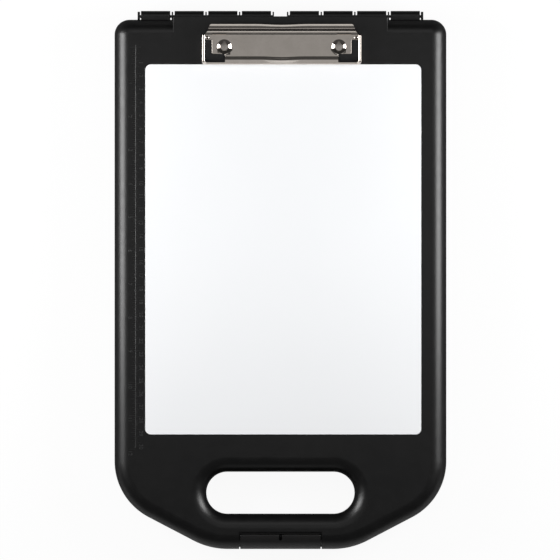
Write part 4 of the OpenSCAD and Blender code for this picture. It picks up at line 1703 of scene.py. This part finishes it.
    def build_jaw(self) -> None:
        """Builds and dresses the jaw sheet."""
        jaw, top, high = self.sheet_solid(), self.form.top_z, self.height
        edge, pip_r, reach = self.pip_edge, self.pip_r, self.access_r
        pip = [(pip_r, high - 2.2)] + [(pip_r + run, z) for run, z in round_over(edge, high - edge, 10)]
        pip.append((pip_r + edge, high + 1))
        funnel = [(q * reach, high - drop) for q, drop in self.funnel]
        around = [self.lip_thin] * 2 + [self.lip_wide] * (len(funnel) - 2)
        under = [(q + more, z - self.lip_drop) for (q, z), more in zip(funnel, around)]
        under.append((reach + self.lip_wide, high - 0.01))
        bowl = [(funnel[0][0], high - 5)] + funnel + [(reach, high + 1)]
        pip, under, bowl = ([(q, top + h) for q, h in levels] for levels in (pip, under, bowl))
        cutters, joined = [], []
        for side in (-1, 1):
            place = self.rivet_place(side)
            joined.append(post("drawn_lip", *place, under))
            cutters += [
                self.window_cutter(side),
                self.louvre_cutter(side),
                post("pip", self.middle_x + side * self.pip_in, self.front_y + self.pip_d, pip, 32),
                post("access", *place, bowl),
            ]
        shape(jaw, Shaping.JOIN, *joined)
        shape(jaw, Shaping.CUT, *cutters)
        even_shading(jaw, 38.0, weighted=False)
        dress(jaw, self.finishes.nickel, Body.JAW, "clip_nickel", "clip_jaw")

    def build_grip(self, side: int, name: str, node: str) -> None:
        """Builds and dresses one rubber corner grip.

        Args:
            side: -1 for the left, 1 for the right.
            name: Name of the piece.
            node: The node it stands for.
        """
        top, h, low = self.form.top_z, self.height - self.grip_sunk, self.gap
        ring = self.window(side, -self.grip_room, -self.grip_room)
        pad = loft(name, [(ring, top + low), (ring, top + self.height + 1)])
        front, back = self.window_front - 1, self.pivot_d + 2
        section = [(front, low), (back, low), (back, h)]
        section += [(d, self.height - drop - self.grip_sunk) for d, drop in self.grip_slope] + [(front, low + 0.2)]
        ring = [(self.front_y + d, top + z) for d, z in section]
        x0, x1 = self.middle_x - self.width / 2, self.middle_x + self.width / 2
        shape(pad, Shaping.KEEP_COMMON, prism("section", ring, x0, x1))
        pin_y, pin_z = self.front_y + self.pivot_d, top + self.pivot_h
        shape(pad, Shaping.CUT, rod("pin_room", x0, x1, pin_y, pin_z, self.pivot_r + self.pin_room))
        ease_edges(pad, self.grip_ease, 2, 40.0)
        even_shading(pad, 40.0)
        dress(pad, self.finishes.rubber, Body.JAW, "grip_rubber", node)

    def build_plate(self) -> None:
        """Builds and dresses the base plate under the jaw with its two ears."""
        top, y, z = self.form.top_z, self.front_y + self.pivot_d, self.form.top_z + self.pivot_h
        window_out = self.width / 2 - self.window_side
        out, nose = window_out - self.grip_leg_w - self.plate_in, window_out - self.grip_front - self.plate_in
        wing_d, end = self.window_front + self.grip_front_d + self.plate_in, self.plate_end
        ear_r = self.height - self.sheet - self.pivot_h - self.ear_room
        right = [(nose, end, 1.0), (nose, wing_d, 1.0), (out, wing_d, 1.5), (out, self.depth - end, 0.6)]
        ring = fillet([(-nose, end, 1.0)] + right + [(-x, d, r) for x, d, r in right[:0:-1]])
        ring = [(self.middle_x + x, self.front_y + d) for x, d in ring]
        plate = loft("clip_plate", [(ring, top), (ring, top + self.plate_t)])
        ears = []
        for side in (-1, 1):
            x0, x1 = sorted((self.middle_x + side * out, self.middle_x + side * (out - self.plate_t)))
            ears.append(block("ear_foot", (x0, y - ear_r, top + 0.1), (x1, y + ear_r, z)))
            ears.append(rod("ear", x0, x1, y, z, ear_r))
        shape(plate, Shaping.JOIN, *ears)
        ease_edges(plate, self.plate_ease, 2, 50.0)
        even_shading(plate, 40.0)
        dress(plate, self.finishes.nickel, Body.LID, "clip_nickel", "clip_base_plate")

    def build_rivet(self, side: int, name: str, node: str) -> None:
        """Builds and dresses one rivet with its wide, low dome.

        Args:
            side: -1 for the left, 1 for the right.
            name: Name of the piece.
            node: The node it stands for.
        """
        top, head_r, rise, flat = self.form.top_z, self.rivet_head_r, self.rivet_head_h, self.rivet_flat
        tail, foot = top - self.form.wall - self.rivet_tail_low, top + self.plate_t
        crown = foot + rise
        levels = [(r, tail + z) for r, z in self.rivet_tail]
        levels += [(self.rivet_tail[-1][0], foot), (head_r - 0.1, foot), (head_r, foot + 0.08)]
        for i in range(17):
            t = i / 16
            levels.append((head_r - (head_r - flat) * t, foot + 0.1 + (rise - 0.16) * math.sin(t * math.pi / 2)))
        levels += [(flat * (1 - 0.3 * i), crown - 0.06 * (1 - i / 3) ** 2) for i in (1, 2, 3)]
        rivet = post(name, *self.rivet_place(side), levels)
        even_shading(rivet, 40.0)
        dress(rivet, self.finishes.rivet, Body.LID, "rivet_steel", node)

    def build_spring(self, side: int, name: str, node: str) -> None:
        """Builds and dresses one torsion spring with its two legs.

        Args:
            side: -1 for the left, 1 for the right.
            name: Name of the piece.
            node: The node it stands for.
        """
        coil_r, pitch = self.pivot_r + self.wire_r + self.spring_room, 2 * self.wire_r + self.spring_gap
        steps, turns = self.spring_steps, self.spring_turns
        low_h = self.plate_t + self.wire_r + self.spring_lift - self.pivot_h
        high_h = min(self.height - self.sheet - self.wire_r - self.spring_leg_drop - self.pivot_h, coil_r)
        path = [(-pitch * turns / 2 - 0.01, self.spring_foot, low_h)]
        for i in range(round(turns * steps) + 1):
            a = math.radians(270 - 360 * i / steps)
            path.append((pitch * (i / steps - turns / 2), coil_r * math.cos(a), coil_r * math.sin(a)))
        leg_end = self.depth - self.lever_d - self.pivot_d - self.spring_leg_short
        path.append((pitch * turns / 2 + 0.01, leg_end, high_h))
        middle = self.width / 2 - self.rivet_in - self.spring_in
        curve = bpy.data.curves.new(name, "CURVE")
        curve.dimensions, curve.bevel_depth, curve.bevel_resolution = "3D", self.wire_r * MM, 3
        curve.use_fill_caps = True
        spline = curve.splines.new("POLY")
        spline.points.add(len(path) - 1)
        for point, (x, y, z) in zip(spline.points, path):
            at = self.at(side * (middle + x), self.pivot_d + y, self.pivot_h + z)
            point.co = (*(v * MM for v in at), 1)
        wire = bpy.data.objects.new(name, curve)
        bpy.context.scene.collection.objects.link(wire)
        spring = join_as_mesh(name, [wire])
        spring.data.shade_smooth()
        dress(spring, self.finishes.spring, Body.LID, "spring_steel", node)

    def build(self) -> None:
        """Builds and dresses every piece of the clip."""
        self.build_jaw()
        self.build_plate()
        for side, word in ((-1, "left"), (1, "right")):
            self.build_grip(side, f"rubber_grip_{word}", f"corner_grip_{word}")
            self.build_rivet(side, f"clip_rivet_{word}", f"rivet_{word}")
            self.build_spring(side, f"torsion_spring_{word}", f"clip_spring_{word}")
            dress_node(f"rivet_washer_{word}", self.finishes.washer)
        dress_node("clip_pivot_pin", self.finishes.pin)


# ---- Light, floor and camera ----


@dataclass
class Studio:
    """Pale floor, two strip softboxes at the sides, a dim ceiling and the camera above."""

    form: CaseForm
    frame_width: float = 424.48
    lens: float = 1600.0
    sensor: float = 36.0
    centre: Knot = (-0.34, -0.04)
    sky: float = 0.05
    horizon: float = 0.03
    ceiling_turn: Knot = (0.2, 0.8)
    front: float = 0.5
    front_turn: Knot = (-0.84, -0.99)
    front_haze: float = 0.045
    haze_turn: Knot = (-0.2, -0.5)
    low_white: float = 0.03
    strip_at: Point = (0.58, 0.12, 0.335)
    strip_power: float = 4.15
    strip_aim: Point = (0.0, 0.1, 0.03)
    strip_size: Knot = (0.36, 0.38)
    top_at: Point = (0.05, 0.05, 0.95)
    top_power: float = 0.31
    top_size: Knot = (0.8, 0.36)
    back_at: Point = (0.0, 0.66, 0.92)
    back_aim: Point = (0.0, 0.19, 0.0)
    back_power: float = 0.62
    back_size: Knot = (0.7, 0.42)
    fill_at: Point = (-0.1, -0.25, 1.5)
    fill_power: float = 2.9
    fill_size: Knot = (1.0, 1.0)
    floor_half: float = 3000.0
    floor_z: float = -0.05
    floor_colour: float = 0.95
    # Painted reflection: grey of the floor to reflected and bounced rays, dark beside and behind the case and pale in
    # front, which darkens the case's side edges and lights its front edge.
    floor_side: float = 0.12
    floor_front: float = 0.7
    floor_turn: Knot = (-0.24, -0.15)
    floor_glow: float = 0.93
    # Reach of the painted shadow in reflections: within it the floor's white glow fades out towards the case.
    shade: Knot = (0.8, 2.0)

    def camera(self) -> None:
        """Looks straight down on the lid."""
        data = bpy.data.cameras.new("camera")
        data.lens, data.sensor_width = self.lens, self.sensor
        distance = self.lens * self.frame_width / data.sensor_width
        camera = bpy.data.objects.new("camera", data)
        camera.location = (self.centre[0] * MM, self.centre[1] * MM, (self.form.top_z + distance) * MM)
        bpy.context.scene.collection.objects.link(camera)
        bpy.context.scene.camera = camera

    def lamp(self, name: str, at: Point, aim: Point, size: Knot, power: float, glossy: bool = True) -> None:
        """Hangs one area lamp.

        Args:
            name: Name of the lamp.
            at: Its place in metres.
            aim: The point it looks at.
            size: Its two sides in metres.
            power: Its power in watts.
            glossy: Whether it shows in reflections.
        """
        data = bpy.data.lights.new(name, "AREA")
        data.shape, data.size, data.size_y, data.energy = "RECTANGLE", size[0], size[1], power
        lamp = bpy.data.objects.new(name, data)
        lamp.location = at
        lamp.rotation_euler = (Vector(aim) - Vector(at)).to_track_quat("-Z", "Y").to_euler()
        lamp.visible_glossy = glossy
        bpy.context.scene.collection.objects.link(lamp)

    def world(self) -> None:
        """A dim ceiling, darker at the horizon and lighter in front; the camera sees white."""
        world = bpy.data.worlds.new("studio")
        bpy.context.scene.world = world
        wires = Wiring(world)
        split = wires.add("ShaderNodeSeparateXYZ")
        wires.feed(split.inputs["Vector"], wires.add("ShaderNodeTexCoord").outputs["Generated"])
        along, up = split.outputs["Y"], split.outputs["Z"]
        ceiling = wires.spread(up, self.horizon, self.sky, *self.ceiling_turn)
        haze = wires.spread(along, 0.0, self.front_haze, *self.haze_turn)
        ahead = wires.calc("POWER", wires.spread(along, 0.0, 1.0, *self.front_turn), 2.0)
        dim, white = wires.add("ShaderNodeBackground"), wires.add("ShaderNodeBackground")
        level = wires.calc("MULTIPLY_ADD", ahead, self.front, wires.calc("ADD", ceiling, haze))
        wires.feed(dim.inputs["Strength"], level)
        low = wires.spread(up, 0.0, 1.0, self.low_white, 0.0)
        share = wires.white_share(wires.add("ShaderNodeLightPath"), low)
        wires.blend(share, dim.outputs["Background"], white.outputs["Background"], "ShaderNodeOutputWorld")

    def floor(self) -> None:
        """A wide pale floor that keeps a soft shadow; to reflected and bounced rays it is painted dark beside and
        behind the case and paler in front, and in reflections a painted shadow darkens it close to the case.
        """
        half, z = self.floor_half, self.floor_z
        floor = solid("floor", [(-half, -half, z), (half, -half, z), (half, half, z), (-half, half, z)], [[0, 1, 2, 3]])
        material = bpy.data.materials.new("floor_white")
        wires = Wiring(material)
        place = wires.add("ShaderNodeTexCoord").outputs["Object"]
        split, reach = wires.add("ShaderNodeSeparateXYZ"), wires.add("ShaderNodeVectorMath", operation="LENGTH")
        wires.feed(split.inputs["Vector"], place)
        wires.feed(reach.inputs[0], place)
        path = wires.add("ShaderNodeLightPath")
        # Painted reflection: rays other than the camera's see the floor dark beside and behind the case and paler in
        # front of it.
        painted_reflection_grey = wires.spread(split.outputs["Y"], self.floor_front, self.floor_side, *self.floor_turn)
        pale = wires.spread(path.outputs["Is Camera Ray"], painted_reflection_grey, self.floor_colour, 0.0, 1.0)
        plain, glow = wires.add("ShaderNodeBsdfDiffuse"), wires.add("ShaderNodeEmission")
        wires.feed(plain.inputs["Color"], pale)
        wires.feed(glow.inputs["Strength"], 1.0)
        # Painted shadow: reflections see the floor's white fade out towards the case, a dark halo in place of its own
        # shadow.
        clear = wires.spread(reach.outputs["Value"], 0.0, 1.0, *self.shade)
        share = wires.calc("MULTIPLY", wires.white_share(path, clear), self.floor_glow)
        wires.blend(share, plain.outputs["BSDF"], glow.outputs["Emission"], "ShaderNodeOutputMaterial")
        floor.data.materials.append(material)

    def build(self) -> None:
        """Sets up the camera, the lamps, the world and the floor."""
        self.camera()
        self.world()
        self.floor()
        for side in (-1, 1):
            at = (side * self.strip_at[0], *self.strip_at[1:])
            self.lamp(f"strip_{side}", at, self.strip_aim, self.strip_size, self.strip_power)
        self.lamp("overhead", self.top_at, (*self.top_at[:2], 0), self.top_size, self.top_power)
        self.lamp("back", self.back_at, self.back_aim, self.back_size, self.back_power)
        self.lamp("fill", self.fill_at, (0, 0, 0), self.fill_size, self.fill_power, glossy=False)
        bpy.context.scene.view_settings.view_transform = "Standard"
        log.info("studio: ready")


def main() -> None:
    """Builds every sub-assembly in order."""
    logging.basicConfig(level=logging.INFO, format="%(name)s %(message)s")
    form, finishes = CaseForm(), Finishes()
    Studio(form).build()
    for assembly in (
        Tray(form, finishes), Lid(form, finishes), Ruler(form, finishes),
        WritingPanel(form, finishes), Latch(form, finishes), Clip(form, finishes),
    ):
        assembly.build()
        log.info("%s: built", type(assembly).__name__)


if __name__ == "__main__":
    main()
